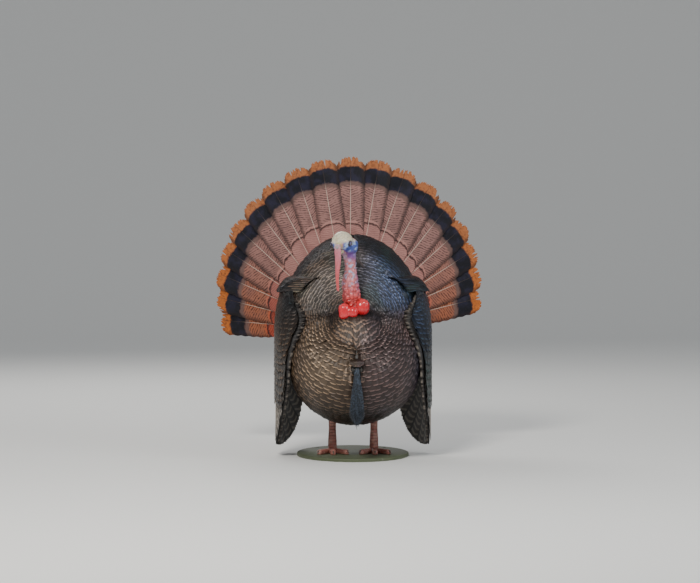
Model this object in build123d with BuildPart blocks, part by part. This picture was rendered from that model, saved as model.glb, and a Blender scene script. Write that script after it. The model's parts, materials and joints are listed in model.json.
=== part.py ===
from build123d import *
import math
import os

# A life-size strutting gobbler decoy. Millimetres, +Z up, the bird faces -Y.
# The ground is z = 0, and the origin is the centre of the base plate's underside.

# ------------------------------------------------------------------ driving sizes
# Body
body_length = 413.0  # breast to rump
body_width = 354.0  # flank to flank, without the wings
body_height = 464.0  # belly to the top of the raised back
belly_height = 85.0  # ground to belly
breast_front = -228.0  # y of the front of the breast
shell_wall = 4.0

# Keel plate and the seam flanges that clamp it
keel_thickness = 6.0
flange_thickness = 4.0
flange_width = 20.0
keel_clearance = 0.3
seam_screw_radius = 2.0
seam_screw_inset = 15.0  # body surface to the screw, measured upright
seam_screw_clearance = 0.2
seam_head_radius = 4.0
seam_head_height = 2.5
seam_nut_width = 7.0
seam_nut_height = 2.5

# Stand
base_length = 380.0
base_width = 280.0
base_thickness = 8.0
base_edge_radius = 3.0
base_centre_y = 10.0
peg_hole_radius = 4.5
peg_spacing_x = 170.0
peg_spacing_y = 240.0
leg_spacing = 104.0
leg_y = -10.0
leg_radius = 11.0
leg_hole_clearance = 0.5
rod_radius = 5.0
rod_clearance = 0.1
rod_nut_width = 16.0
rod_nut_height = 4.5
nut_recess_radius = 10.0
nut_recess_depth = 5.5
foot_thickness = 12.0
foot_chamfer = 3.0
foot_heel_margin = 4.0
toe_length = 66.0
toe_width = 13.0
hind_toe_length = 36.0
toe_angle = 34.0
tray_length = 70.0
tray_width = 140.0
tray_thickness = 8.0
tray_height = 30.0  # above the belly

# Neck socket and head
neck_y = -150.0
socket_outer_radius = 23.5
socket_bottom = 226.0  # above the belly
socket_top = 276.0  # above the belly
socket_hole_clearance = 0.5
socket_floor = 6.0
stub_radius = 12.0
running_clearance = 0.05
seat_gap = 0.3
crown_radius = 26.0
nape_radius = 25.0
face_yaw = 22.0  # the face turns this far to the bird's right
eye_radius = 5.0
beak_root_radius = 9.0
beak_tip_radius = 2.2
beak_length = 18.0
beak_droop = 42.0
snood_length = 106.0
snood_top_radius = 8.0
snood_tip_radius = 3.0
snood_knuckle_radius = 4.5
snood_knuckle_length = 7.0
snood_pin_radius = 1.45
snood_pin_head_radius = 3.0

# Beard
beard_length = 146.0
beard_top_width = 14.0
beard_bottom_width = 38.0
beard_thickness = 9.0
beard_knuckle_radius = 4.5
beard_pin_radius = 2.0
beard_pin_height = 146.0  # above the belly
beard_standoff = 10.0  # breast to pin
clip_plate_thickness = 3.0
clip_ear_thickness = 3.0
clip_half_width = 12.0

# Wings
wing_gap = 6.0
wing_thickness = 10.0
wing_hinge_x = 172.0
wing_hinge_height = 335.0  # above the belly
wing_hinge_front = -40.0
wing_hinge_rear = 60.0
wing_knuckle_radius = 6.0
wing_pin_radius = 2.5
wing_lug_thickness = 5.0
wing_lug_gap = 0.4
wing_tip_drop = 60.0  # below the belly
wing_skirt = 90.0  # straight drop of the wing below the belly

# Tail fan
feather_count = 18
feather_spacing = 9.5  # degrees
fan_lean = 4.5  # degrees, towards -X
fan_circle_radius = 340.0
fan_circle_rise = 107.0
feather_width = 70.0
feather_thickness = 1.6
layer_gap = 0.3
quill_width = 9.0
quill_length = 70.0
feather_eye_radius = 9.0
hub_height = 216.0  # above the belly
hub_bolt_radius = 4.0
hub_bolt_head_radius = 8.0
hub_bolt_head_height = 3.0
fan_gap = 14.0  # rump to the first feather
clamp_plate_thickness = 3.0
clamp_plate_radius = 28.0
arm_thickness = 4.0
tilt_pivot_setback = 33.0  # rump to the tilt pin
tilt_pivot_height = 165.0  # above the belly
tilt_pin_radius = 3.0
tilt_barrel_radius = 9.0
tilt_barrel_half = 12.0
lug_thickness = 5.0
bracket_plate_thickness = 5.0
bracket_plate_width = 60.0
bracket_plate_height = 70.0

# Each body section: share of the length from the breast, of the height at the
# section's bottom and top, and of the half width.
body_sections = [
    (0.000, 0.238, 0.376, 0.225),
    (0.012, 0.205, 0.400, 0.335),
    (0.039, 0.152, 0.438, 0.475),
    (0.128, 0.062, 0.522, 0.735),
    (0.237, 0.024, 0.604, 0.880),
    (0.358, 0.004, 0.815, 0.958),
    (0.504, 0.000, 0.960, 1.000),
    (0.661, 0.017, 1.000, 0.977),
    (0.806, 0.080, 0.920, 0.825),
    (0.915, 0.188, 0.759, 0.593),
    (1.000, 0.317, 0.629, 0.339),
]
# Sections whose top or bottom carries a seam screw.
seam_screw_tops = [6, 7, 8]
seam_screw_bottoms = [4, 5, 7, 8]

# ---------------------------------------------------------------- worked-out sizes
body_rear = breast_front + body_length
body_middle_y = breast_front + body_length / 2
keel_half = keel_thickness / 2
flange_face = keel_half + flange_thickness
leg_x = leg_spacing / 2
foot_bottom = base_thickness
foot_top = base_thickness + foot_thickness
tray_bottom = belly_height + tray_height
tray_top = tray_bottom + tray_thickness
hub_z = belly_height + hub_height
fan_front_y = body_rear + fan_gap
layer_pitch = feather_thickness + layer_gap
fan_back_y = fan_front_y + feather_count * layer_pitch
arm_front_y = fan_back_y
arm_back_y = arm_front_y + arm_thickness
pivot_y = body_rear + tilt_pivot_setback
pivot_z = belly_height + tilt_pivot_height
beard_pin_y = breast_front - beard_standoff
beard_pin_z = belly_height + beard_pin_height
wing_hinge_z = belly_height + wing_hinge_height
reach = 4 * body_length  # longer than anything it cuts


def section_y(index):
    return breast_front + body_sections[index][0] * body_length


def section_low(index):
    return belly_height + body_sections[index][1] * body_height


def section_high(index):
    return belly_height + body_sections[index][2] * body_height


def inset_y(index, inset):
    """A section's place along a body that is made smaller all round by inset."""
    shrink = 1 - 2 * inset / body_length
    return body_middle_y + (section_y(index) - body_middle_y) * shrink


def body_volume(inset):
    """The body's solid shape, smaller all round by inset."""
    with BuildPart() as volume:
        for index, section in enumerate(body_sections):
            half_width = section[3] * body_width / 2 - inset
            half_height = (section_high(index) - section_low(index)) / 2 - inset
            middle_z = (section_high(index) + section_low(index)) / 2
            centre = (0, inset_y(index, inset), middle_z)
            with BuildSketch(Plane(origin=centre, x_dir=(1, 0, 0), z_dir=(0, -1, 0))):
                Ellipse(half_width, half_height)
        loft()
    return volume.part


def wing_volume(outset):
    """The body grown by outset, with its flanks dropping straight down."""
    with BuildPart() as volume:
        for index, section in enumerate(body_sections):
            half_width = section[3] * body_width / 2 + outset
            half_height = (section_high(index) - section_low(index)) / 2 + outset
            middle_z = (section_high(index) + section_low(index)) / 2
            floor = belly_height - wing_skirt - middle_z
            centre = (0, inset_y(index, -outset), middle_z)
            with BuildSketch(Plane(origin=centre, x_dir=(1, 0, 0), z_dir=(0, -1, 0))):
                with BuildLine():
                    EllipticalCenterArc((0, 0), half_width, half_height, 0, arc_size=180)
                    Polyline(
                        (-half_width, 0), (-half_width, floor), (half_width, floor), (half_width, 0)
                    )
                make_face()
        loft()
    return volume.part


def slab_of(volume, near_x, far_x):
    """The slice of a volume between two x positions."""
    with BuildPart() as slab:
        add(volume)
        with Locations(((near_x + far_x) / 2, 0, belly_height)):
            Box(far_x - near_x, reach, reach, mode=Mode.INTERSECT)
    return slab.part


def export(part, name):
    part.label = name
    export_step(part, "parts/" + name + ".step")


def seam_screw_places():
    """The y and z of each screw through the two flanges and the keel."""
    tops = [(section_y(i), section_high(i) - seam_screw_inset) for i in seam_screw_tops]
    bottoms = [(section_y(i), section_low(i) + seam_screw_inset) for i in seam_screw_bottoms]
    return tops + bottoms


os.makedirs("parts", exist_ok=True)

# ------------------------------------------------------------------------ stand
with BuildPart() as base_plate:
    with BuildSketch(Plane.XY):
        with Locations((0, base_centre_y)):
            Ellipse(base_width / 2, base_length / 2)
    extrude(amount=base_thickness)
    fillet(base_plate.faces().sort_by(Axis.Z)[-1].edges(), radius=base_edge_radius)
    with Locations((0, base_centre_y, base_thickness)):
        with GridLocations(peg_spacing_x, peg_spacing_y, 2, 2):
            Hole(radius=peg_hole_radius)
    with Locations((-leg_x, leg_y, base_thickness), (leg_x, leg_y, base_thickness)):
        Hole(radius=rod_radius + rod_clearance)
    with Locations((-leg_x, leg_y, 0), (leg_x, leg_y, 0)):
        Cylinder(
            nut_recess_radius,
            nut_recess_depth,
            align=(Align.CENTER, Align.CENTER, Align.MIN),
            mode=Mode.SUBTRACT,
        )
export(base_plate.part, "base_plate")


def make_foot(side):
    """Three front toes and a hind toe on a flat pad, bored for the leg rod."""
    with BuildPart() as foot:
        with BuildSketch(Plane.XY.offset(foot_bottom)):
            with Locations((side * leg_x, leg_y)):
                Circle(leg_radius + foot_heel_margin)
            for turn in (-toe_angle, 0, toe_angle):
                middle = toe_length / 2
                heading = math.radians(turn - 90)
                toe_x = side * leg_x + middle * math.cos(heading)
                toe_y = leg_y + middle * math.sin(heading)
                with Locations(Location((toe_x, toe_y), turn - 90)):
                    SlotOverall(toe_length, toe_width)
            with Locations(Location((side * leg_x, leg_y + hind_toe_length / 2), 90)):
                SlotOverall(hind_toe_length, toe_width)
        extrude(amount=foot_thickness)
        top_edges = foot.faces().sort_by(Axis.Z)[-1].edges()
        chamfer(top_edges, length=foot_chamfer)
        with Locations((side * leg_x, leg_y, foot_top)):
            Hole(radius=rod_radius + rod_clearance)
    return foot.part


def make_leg(side):
    """A scaled shank around its rod, from the foot to the tray in the body."""
    shank_length = tray_bottom - foot_top
    with BuildPart() as leg:
        with BuildSketch(Plane.XY.offset(foot_top)):
            with Locations((side * leg_x, leg_y)):
                Circle(leg_radius)
                Circle(rod_radius + rod_clearance, mode=Mode.SUBTRACT)
        extrude(amount=shank_length)
    return leg.part


for side, word in ((-1, "left"), (1, "right")):
    export(make_foot(side), "foot_" + word)
    export(make_leg(side), "leg_" + word)

rod_bottom = nut_recess_depth - rod_nut_height - 0.5
rod_top = tray_top + rod_nut_height + 3
with BuildPart() as leg_rods:
    with BuildSketch(Plane.XY.offset(rod_bottom)):
        with Locations((-leg_x, leg_y), (leg_x, leg_y)):
            Circle(rod_radius)
    extrude(amount=rod_top - rod_bottom)
export(leg_rods.part, "leg_rods")

with BuildPart() as leg_nuts:
    for nut_bottom in (nut_recess_depth - rod_nut_height, tray_top):
        with BuildSketch(Plane.XY.offset(nut_bottom)):
            with Locations((-leg_x, leg_y), (leg_x, leg_y)):
                RegularPolygon(rod_nut_width / 2, 6)
                Circle(rod_radius, mode=Mode.SUBTRACT)
        extrude(amount=rod_nut_height)
export(leg_nuts.part, "leg_nuts")

with BuildPart() as leg_tray:
    with BuildSketch(Plane.XY.offset(tray_bottom)):
        with Locations((0, leg_y)):
            RectangleRounded(tray_width, tray_length, 8)
        with Locations((-leg_x, leg_y), (leg_x, leg_y)):
            Circle(rod_radius + rod_clearance, mode=Mode.SUBTRACT)
    extrude(amount=tray_thickness)
export(leg_tray.part, "leg_tray")

# ------------------------------------------------------------- body shells and keel
inner_volume = body_volume(shell_wall)
flange_volume = body_volume(shell_wall + flange_width)
socket_hole_radius = socket_outer_radius + socket_hole_clearance
socket_hole_z = belly_height + socket_bottom - socket_hole_clearance

with BuildPart() as shell_right:
    add(body_volume(0))
    split(bisect_by=Plane.YZ, keep=Keep.TOP)
    add(slab_of(inner_volume, 0, keel_half), mode=Mode.SUBTRACT)
    add(slab_of(flange_volume, keel_half, flange_face), mode=Mode.SUBTRACT)
    add(slab_of(inner_volume, flange_face, body_width), mode=Mode.SUBTRACT)
    # Opening for the neck socket
    with BuildSketch(Plane.XY.offset(socket_hole_z)):
        with Locations((0, neck_y)):
            Circle(socket_hole_radius)
    extrude(amount=body_height, mode=Mode.SUBTRACT)
    # Opening for the leg
    with BuildSketch(Plane.XY.offset(belly_height - 1)):
        with Locations((leg_x, leg_y)):
            Circle(leg_radius + leg_hole_clearance)
    extrude(amount=tray_height, mode=Mode.SUBTRACT)
    # Seam screw holes
    with BuildSketch(Plane.YZ):
        with Locations(*seam_screw_places()):
            Circle(seam_screw_radius + seam_screw_clearance)
    extrude(amount=flange_face + 1, mode=Mode.SUBTRACT)
with BuildPart() as shell_left:
    add(shell_right.part)
    mirror(about=Plane.YZ, mode=Mode.REPLACE)
export(shell_right.part, "body_shell_right")
export(shell_left.part, "body_shell_left")

with BuildPart() as keel_plate:
    add(slab_of(body_volume(shell_wall + keel_clearance), -keel_half, keel_half))
    with Locations((0, neck_y, belly_height + socket_bottom)):
        Box(
            keel_thickness,
            2 * socket_hole_radius,
            body_height,
            align=(Align.CENTER, Align.CENTER, Align.MIN),
            mode=Mode.SUBTRACT,
        )
    with Locations((0, leg_y, (tray_bottom + tray_top) / 2)):
        Box(keel_thickness, tray_length, tray_thickness, mode=Mode.SUBTRACT)
    with BuildSketch(Plane.YZ.offset(-keel_half)):
        with Locations(*seam_screw_places()):
            Circle(seam_screw_radius + seam_screw_clearance)
    extrude(amount=keel_thickness, mode=Mode.SUBTRACT)
export(keel_plate.part, "keel_plate")

with BuildPart() as seam_screws:
    with BuildSketch(Plane.YZ.offset(-flange_face - seam_nut_height)):
        with Locations(*seam_screw_places()):
            Circle(seam_screw_radius)
    extrude(amount=2 * flange_face + seam_nut_height)
    with BuildSketch(Plane.YZ.offset(flange_face)):
        with Locations(*seam_screw_places()):
            Circle(seam_head_radius)
    extrude(amount=seam_head_height)
export(seam_screws.part, "seam_screws")

with BuildPart() as seam_nuts:
    with BuildSketch(Plane.YZ.offset(-flange_face - seam_nut_height)):
        with Locations(*seam_screw_places()):
            RegularPolygon(seam_nut_width / 2, 6)
            Circle(seam_screw_radius, mode=Mode.SUBTRACT)
    extrude(amount=seam_nut_height)
export(seam_nuts.part, "seam_nuts")

# ------------------------------------------------------------------ neck and head
socket_z = belly_height + socket_bottom
socket_rim_z = belly_height + socket_top
stub_bottom = socket_z + socket_floor + seat_gap
neck_bottom = socket_rim_z + seat_gap

with BuildPart() as neck_socket:
    with BuildSketch(Plane.XY.offset(socket_z)):
        with Locations((0, neck_y)):
            Circle(socket_outer_radius)
    extrude(amount=socket_top - socket_bottom)
    with BuildSketch(Plane.XY.offset(socket_z + socket_floor)):
        with Locations((0, neck_y)):
            Circle(stub_radius + running_clearance)
    extrude(amount=socket_top - socket_bottom, mode=Mode.SUBTRACT)
export(neck_socket.part, "neck_socket")

# Neck rings above its seat: height, x and y of the centre, radius
neck_rings = [
    (0.0, 0.0, 0.0, 20.0),
    (20.0, -3.0, 0.0, 20.5),
    (48.0, -10.0, -2.0, 21.0),
    (84.0, -13.0, -4.0, 19.0),
    (124.0, -13.0, -7.0, 17.0),
    (152.0, -17.0, -10.0, 19.0),
]
face = (-math.sin(math.radians(face_yaw)), -math.cos(math.radians(face_yaw)))
side_way = (-face[1], face[0])  # towards the bird's left
crown = Vector(-33, neck_y - 28, neck_bottom + 178)
nape = Vector(-19, neck_y - 12, neck_bottom + 166)


def from_crown(forward, aside, up):
    """A point set out from the middle of the crown, along the way it faces."""
    x = crown.X + forward * face[0] + aside * side_way[0]
    y = crown.Y + forward * face[1] + aside * side_way[1]
    return Vector(x, y, crown.Z + up)


eye_places = [from_crown(8, -23, -4), from_crown(8, 23, -4)]
snood_root = from_crown(crown_radius + 8, 0, -12)
face_plane = Plane(origin=snood_root, x_dir=(*side_way, 0), z_dir=(*face, 0))
stalk_length = 16.0
droop = math.radians(beak_droop)
beak_way = Vector(face[0] * math.cos(droop), face[1] * math.cos(droop), -math.sin(droop))
beak_root = from_crown(13, 0, -21)
beak_plane = Plane(origin=beak_root, x_dir=(*side_way, 0), z_dir=beak_way)

with BuildPart() as head_neck:
    with BuildSketch(Plane.XY.offset(stub_bottom)):
        with Locations((0, neck_y)):
            Circle(stub_radius)
    extrude(amount=neck_bottom - stub_bottom)
    for height, x, y, radius in neck_rings:
        with BuildSketch(Plane.XY.offset(neck_bottom + height)):
            with Locations((x, neck_y + y)):
                Circle(radius)
    loft()
    with Locations(crown):
        Sphere(crown_radius)
    with Locations(nape):
        Sphere(nape_radius)
    # Stalk that carries the snood
    with BuildSketch(face_plane.offset(-stalk_length - snood_knuckle_length / 2 - seat_gap)):
        Circle(snood_knuckle_radius)
    extrude(amount=stalk_length)
    # Jaw that the beak meets
    with BuildSketch(beak_plane.offset(-stalk_length)):
        Circle(beak_root_radius)
    extrude(amount=stalk_length)
    with BuildSketch(face_plane.offset(-stalk_length)):
        Circle(snood_pin_radius)
    extrude(amount=stalk_length, mode=Mode.SUBTRACT)

# Each eye is a domed cap set on the side of the face, with its own seam and poles
# turned away from the skull's.
eye_turn = (30, 20, 10)
with BuildPart() as eyes:
    with Locations(*[Location(place, eye_turn) for place in eye_places]):
        Sphere(eye_radius)
    add(head_neck.part, mode=Mode.SUBTRACT)
export(eyes.part, "eyes")

with BuildPart() as beak:
    with BuildSketch(beak_plane):
        Circle(beak_root_radius)
    with BuildSketch(beak_plane.offset(beak_length)):
        Circle(beak_tip_radius)
    loft()
    add(head_neck.part, mode=Mode.SUBTRACT)
export(beak.part, "beak")

# The three wattles on the front of the throat: x, y, height of the centre, and
# radii across and upright
wattle_lumps = [
    (-29.0, -25.0, 8.5, 13.5, 21.0),
    (-7.0, -28.0, 6.5, 12.0, 14.0),
    (16.5, -26.0, 21.0, 17.0, 21.0),
]


def make_lump(x, y, height, across, upright):
    """A round-ended upright lump, its middle set out from the bottom of the neck."""
    straight = upright - across
    with BuildPart(mode=Mode.PRIVATE) as lump:
        with BuildSketch(Plane.XZ):
            with BuildLine():
                Line((0, -upright), (0, upright))
                RadiusArc((0, upright), (across, straight), across)
                Line((across, straight), (across, -straight))
                RadiusArc((across, -straight), (0, -upright), across)
            make_face()
        revolve(axis=Axis.Z)
    return Location((x, neck_y + y, neck_bottom + height)) * lump.part


with BuildPart() as wattles:
    for lump_sizes in wattle_lumps:
        add(make_lump(*lump_sizes))
    with Locations((0, neck_y, neck_bottom)):
        Cylinder(
            socket_outer_radius + 2 * seat_gap,
            socket_top,
            align=(Align.CENTER, Align.CENTER, Align.MAX),
            mode=Mode.SUBTRACT,
        )
    add(head_neck.part, mode=Mode.SUBTRACT)
export(wattles.part, "wattles")
export(head_neck.part, "head_neck")

# Snood: a tapering strip that hangs from a knuckle on the forehead
with BuildPart() as snood:
    with BuildSketch(face_plane.offset(-snood_knuckle_length / 2)):
        Circle(snood_top_radius)
    extrude(amount=snood_knuckle_length)
    for drop, half_width, half_depth in (
        (0, snood_top_radius, snood_knuckle_length / 2),
        (snood_length, snood_tip_radius, snood_tip_radius - 0.5),
    ):
        low = (snood_root.X, snood_root.Y, snood_root.Z - drop)
        with BuildSketch(Plane(origin=low, x_dir=(*side_way, 0), z_dir=(0, 0, 1))):
            Ellipse(half_width, half_depth)
    loft()
    with BuildSketch(face_plane.offset(-snood_top_radius)):
        Circle(snood_pin_radius + running_clearance)
    extrude(amount=2 * snood_top_radius, mode=Mode.SUBTRACT)
export(snood.part, "snood")

with BuildPart() as snood_pin:
    with BuildSketch(face_plane.offset(-stalk_length)):
        Circle(snood_pin_radius)
    extrude(amount=stalk_length + snood_knuckle_length / 2 + seat_gap)
    with BuildSketch(face_plane.offset(snood_knuckle_length / 2 + seat_gap)):
        Circle(snood_pin_head_radius)
    extrude(amount=1.5)
export(snood_pin.part, "snood_pin")

# ------------------------------------------------------------------------- beard
with BuildPart() as beard_clip:
    with Locations((0, breast_front - clip_plate_thickness / 2, beard_pin_z)):
        Box(2 * clip_half_width, clip_plate_thickness, 20)
    ear_length = beard_standoff + beard_knuckle_radius
    for side in (-1, 1):
        ear_x = side * (clip_half_width - clip_ear_thickness / 2)
        with Locations((ear_x, breast_front - ear_length / 2, beard_pin_z)):
            Box(clip_ear_thickness, ear_length, 2 * beard_knuckle_radius)
    with Locations((0, beard_pin_y, beard_pin_z)):
        Cylinder(beard_pin_radius, 3 * clip_half_width, rotation=(0, 90, 0), mode=Mode.SUBTRACT)
export(beard_clip.part, "beard_clip")

with BuildPart() as beard_pin:
    with Locations((0, beard_pin_y, beard_pin_z)):
        Cylinder(beard_pin_radius, 2 * clip_half_width + 4, rotation=(0, 90, 0))
export(beard_pin.part, "beard_pin")

beard_knuckle_half = clip_half_width - clip_ear_thickness - seat_gap
with BuildPart() as beard:
    with Locations((0, beard_pin_y, beard_pin_z)):
        Cylinder(beard_knuckle_radius, 2 * beard_knuckle_half, rotation=(0, 90, 0))
    with BuildSketch(Plane.XY.offset(beard_pin_z)):
        with Locations((0, beard_pin_y)):
            RectangleRounded(beard_top_width, 2 * beard_knuckle_radius - 1, 3)
    with BuildSketch(Plane.XY.offset(beard_pin_z - 0.75 * beard_length)):
        with Locations((0, beard_pin_y)):
            RectangleRounded(beard_bottom_width, beard_thickness, 3)
    with BuildSketch(Plane.XY.offset(beard_pin_z - beard_length)):
        with Locations((0, beard_pin_y)):
            RectangleRounded(beard_top_width, beard_thickness / 2, 2)
    loft(ruled=True)
    with Locations((0, beard_pin_y, beard_pin_z)):
        Cylinder(
            beard_pin_radius + running_clearance,
            3 * clip_half_width,
            rotation=(0, 90, 0),
            mode=Mode.SUBTRACT,
        )
export(beard.part, "beard")

# ------------------------------------------------------------------------- wings
# Outline of a wing seen from the side: y, and height above the belly
wing_outline = [
    (-60.0, 322.0),
    (-118.0, 262.0),
    (-142.0, 170.0),
    (-120.0, 60.0),
    (-60.0, -20.0),
    (30.0, -wing_tip_drop),
    (105.0, -wing_tip_drop + 10.0),
    (146.0, 40.0),
    (140.0, 180.0),
    (108.0, 275.0),
    (60.0, 328.0),
]
hinge_length = wing_hinge_rear - wing_hinge_front
knuckle_half = hinge_length / 2 - wing_lug_gap
hinge_middle = (wing_hinge_x, (wing_hinge_front + wing_hinge_rear) / 2, wing_hinge_z)
lug_reach = wing_hinge_x - 0.6 * body_width / 2

with BuildPart() as wing_right:
    with BuildSketch(Plane.YZ.offset(body_width / 6)):
        with BuildLine():
            Spline(*[(y, belly_height + height) for y, height in wing_outline])
            Line(
                (wing_outline[-1][0], belly_height + wing_outline[-1][1]),
                (wing_outline[0][0], belly_height + wing_outline[0][1]),
            )
        make_face()
    extrude(amount=body_width)
    add(wing_volume(wing_gap + wing_thickness), mode=Mode.INTERSECT)
    # Web from the top edge to the knuckle
    with Locations((wing_hinge_x - 9, hinge_middle[1], wing_hinge_z - 8)):
        Box(18, 2 * knuckle_half, 7)
    with Locations(hinge_middle):
        Cylinder(wing_knuckle_radius, 2 * knuckle_half, rotation=(90, 0, 0))
    add(wing_volume(wing_gap), mode=Mode.SUBTRACT)
    with Locations(hinge_middle):
        Cylinder(
            wing_pin_radius + running_clearance,
            2 * hinge_length,
            rotation=(90, 0, 0),
            mode=Mode.SUBTRACT,
        )
    # Room for the lugs at both ends of the knuckle
    for lug_y in (wing_hinge_front - wing_lug_thickness, wing_hinge_rear + wing_lug_thickness):
        with Locations((wing_hinge_x - lug_reach / 2, lug_y, wing_hinge_z)):
            Box(
                lug_reach + 4 * wing_knuckle_radius,
                2 * wing_lug_thickness + 2 * wing_lug_gap,
                6 * wing_knuckle_radius,
                mode=Mode.SUBTRACT,
            )

with BuildPart() as wing_bracket_right:
    for lug_y in (
        wing_hinge_front - wing_lug_thickness / 2,
        wing_hinge_rear + wing_lug_thickness / 2,
    ):
        with Locations((wing_hinge_x - lug_reach / 2, lug_y, wing_hinge_z)):
            Box(lug_reach, wing_lug_thickness, 2 * wing_knuckle_radius)
        with Locations((wing_hinge_x, lug_y, wing_hinge_z)):
            Cylinder(wing_knuckle_radius, wing_lug_thickness, rotation=(90, 0, 0))
    add(body_volume(0), mode=Mode.SUBTRACT)
    with Locations(hinge_middle):
        Cylinder(wing_pin_radius, 2 * hinge_length, rotation=(90, 0, 0), mode=Mode.SUBTRACT)

with BuildPart() as wing_pins:
    pin_length = hinge_length + 2 * wing_lug_thickness
    for side in (-1, 1):
        with Locations((side * wing_hinge_x, hinge_middle[1], wing_hinge_z)):
            Cylinder(wing_pin_radius, pin_length, rotation=(90, 0, 0))
export(wing_pins.part, "wing_pins")

for right_part, name in ((wing_right, "wing"), (wing_bracket_right, "wing_bracket")):
    export(right_part.part, name + "_right")
    with BuildPart() as mirrored:
        add(right_part.part)
        mirror(about=Plane.YZ, mode=Mode.REPLACE)
    export(mirrored.part, name + "_left")

# ------------------------------------------------------------- tail bracket and fan
with BuildPart() as tail_bracket:
    with Locations((0, body_rear + bracket_plate_thickness / 2, pivot_z + 20)):
        Box(bracket_plate_width, bracket_plate_thickness, bracket_plate_height)
    for side in (-1, 1):
        lug_x = side * (tilt_barrel_half + seat_gap + lug_thickness / 2)
        lug_length = tilt_pivot_setback - bracket_plate_thickness
        with Locations((lug_x, pivot_y - lug_length / 2, pivot_z)):
            Box(lug_thickness, lug_length, 2 * tilt_barrel_radius)
        with Locations((lug_x, pivot_y, pivot_z)):
            Cylinder(tilt_barrel_radius, lug_thickness, rotation=(0, 90, 0))
    with Locations((0, pivot_y, pivot_z)):
        Cylinder(tilt_pin_radius, body_width, rotation=(0, 90, 0), mode=Mode.SUBTRACT)
export(tail_bracket.part, "tail_bracket")

tilt_pin_half = tilt_barrel_half + seat_gap + lug_thickness
with BuildPart() as tilt_pin:
    with Locations((0, pivot_y, pivot_z)):
        Cylinder(tilt_pin_radius, 2 * tilt_pin_half, rotation=(0, 90, 0))
    for side in (-1, 1):
        with Locations((side * (tilt_pin_half + 1.5), pivot_y, pivot_z)):
            Cylinder(2 * tilt_pin_radius, 3, rotation=(0, 90, 0))
export(tilt_pin.part, "tilt_pin")


def along_y(front_y):
    """A plane square to the fan's axis, with its x to +X and its y upward."""
    return Plane(origin=(0, front_y, hub_z), x_dir=(1, 0, 0), z_dir=(0, -1, 0))


clamp_front_y = fan_front_y - layer_gap - clamp_plate_thickness
with BuildPart() as fan_clamp_plate:
    with BuildSketch(along_y(clamp_front_y)):
        Circle(clamp_plate_radius)
        Circle(hub_bolt_radius, mode=Mode.SUBTRACT)
    extrude(amount=-clamp_plate_thickness)
export(fan_clamp_plate.part, "fan_clamp_plate")

hub_to_pivot = hub_z - pivot_z
with BuildPart() as tilt_arm:
    with BuildSketch(along_y(arm_front_y)):
        Circle(clamp_plate_radius)
        with Locations((0, -hub_to_pivot / 2)):
            Rectangle(2 * tilt_barrel_half - 2, hub_to_pivot)
    extrude(amount=-arm_thickness)
    bridge_length = arm_back_y - pivot_y
    with Locations((0, pivot_y + bridge_length / 2, pivot_z)):
        Box(2 * tilt_barrel_half - 2, bridge_length, 2 * tilt_barrel_radius)
    with Locations((0, pivot_y, pivot_z)):
        Cylinder(tilt_barrel_radius, 2 * tilt_barrel_half, rotation=(0, 90, 0))
        Cylinder(
            tilt_pin_radius + running_clearance,
            body_width,
            rotation=(0, 90, 0),
            mode=Mode.SUBTRACT,
        )
    with BuildSketch(along_y(arm_front_y)):
        Circle(hub_bolt_radius)
    extrude(amount=-arm_thickness, mode=Mode.SUBTRACT)
export(tilt_arm.part, "tilt_arm")

wing_nut_height = 8.0
bolt_end_y = arm_back_y + wing_nut_height + 2
with BuildPart() as hub_bolt:
    with BuildSketch(along_y(clamp_front_y)):
        Circle(hub_bolt_radius)
    extrude(amount=-(bolt_end_y - clamp_front_y))
    with BuildSketch(along_y(clamp_front_y - hub_bolt_head_height)):
        Circle(hub_bolt_head_radius)
    extrude(amount=-hub_bolt_head_height)
export(hub_bolt.part, "hub_bolt")

with BuildPart() as wing_nut:
    with BuildSketch(along_y(arm_back_y)):
        Circle(2 * hub_bolt_radius)
    extrude(amount=-wing_nut_height)
    with BuildSketch(along_y(arm_back_y + 2)):
        SlotOverall(9 * hub_bolt_radius, hub_bolt_radius)
    extrude(amount=-wing_nut_height)
    with BuildSketch(along_y(arm_back_y)):
        Circle(hub_bolt_radius)
    extrude(amount=-2 * wing_nut_height, mode=Mode.SUBTRACT)
export(wing_nut.part, "wing_nut")


def feather_angle(index):
    """Degrees from upright, positive towards -X."""
    return fan_lean + ((feather_count - 1) / 2 - index) * feather_spacing


def feather_length(angle):
    """The tips lie on a circle whose centre is above the hub."""
    turn = math.radians(angle)
    across = fan_circle_rise * math.sin(turn)
    return fan_circle_rise * math.cos(turn) + math.sqrt(fan_circle_radius**2 - across**2)


def feather_layer(index):
    """Layer 0 is in front: the middle pair first, then outwards by turns."""
    offset = index - (feather_count - 1) / 2
    return int(2 * (abs(offset) - 0.5)) + (1 if offset > 0 else 0)


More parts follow.
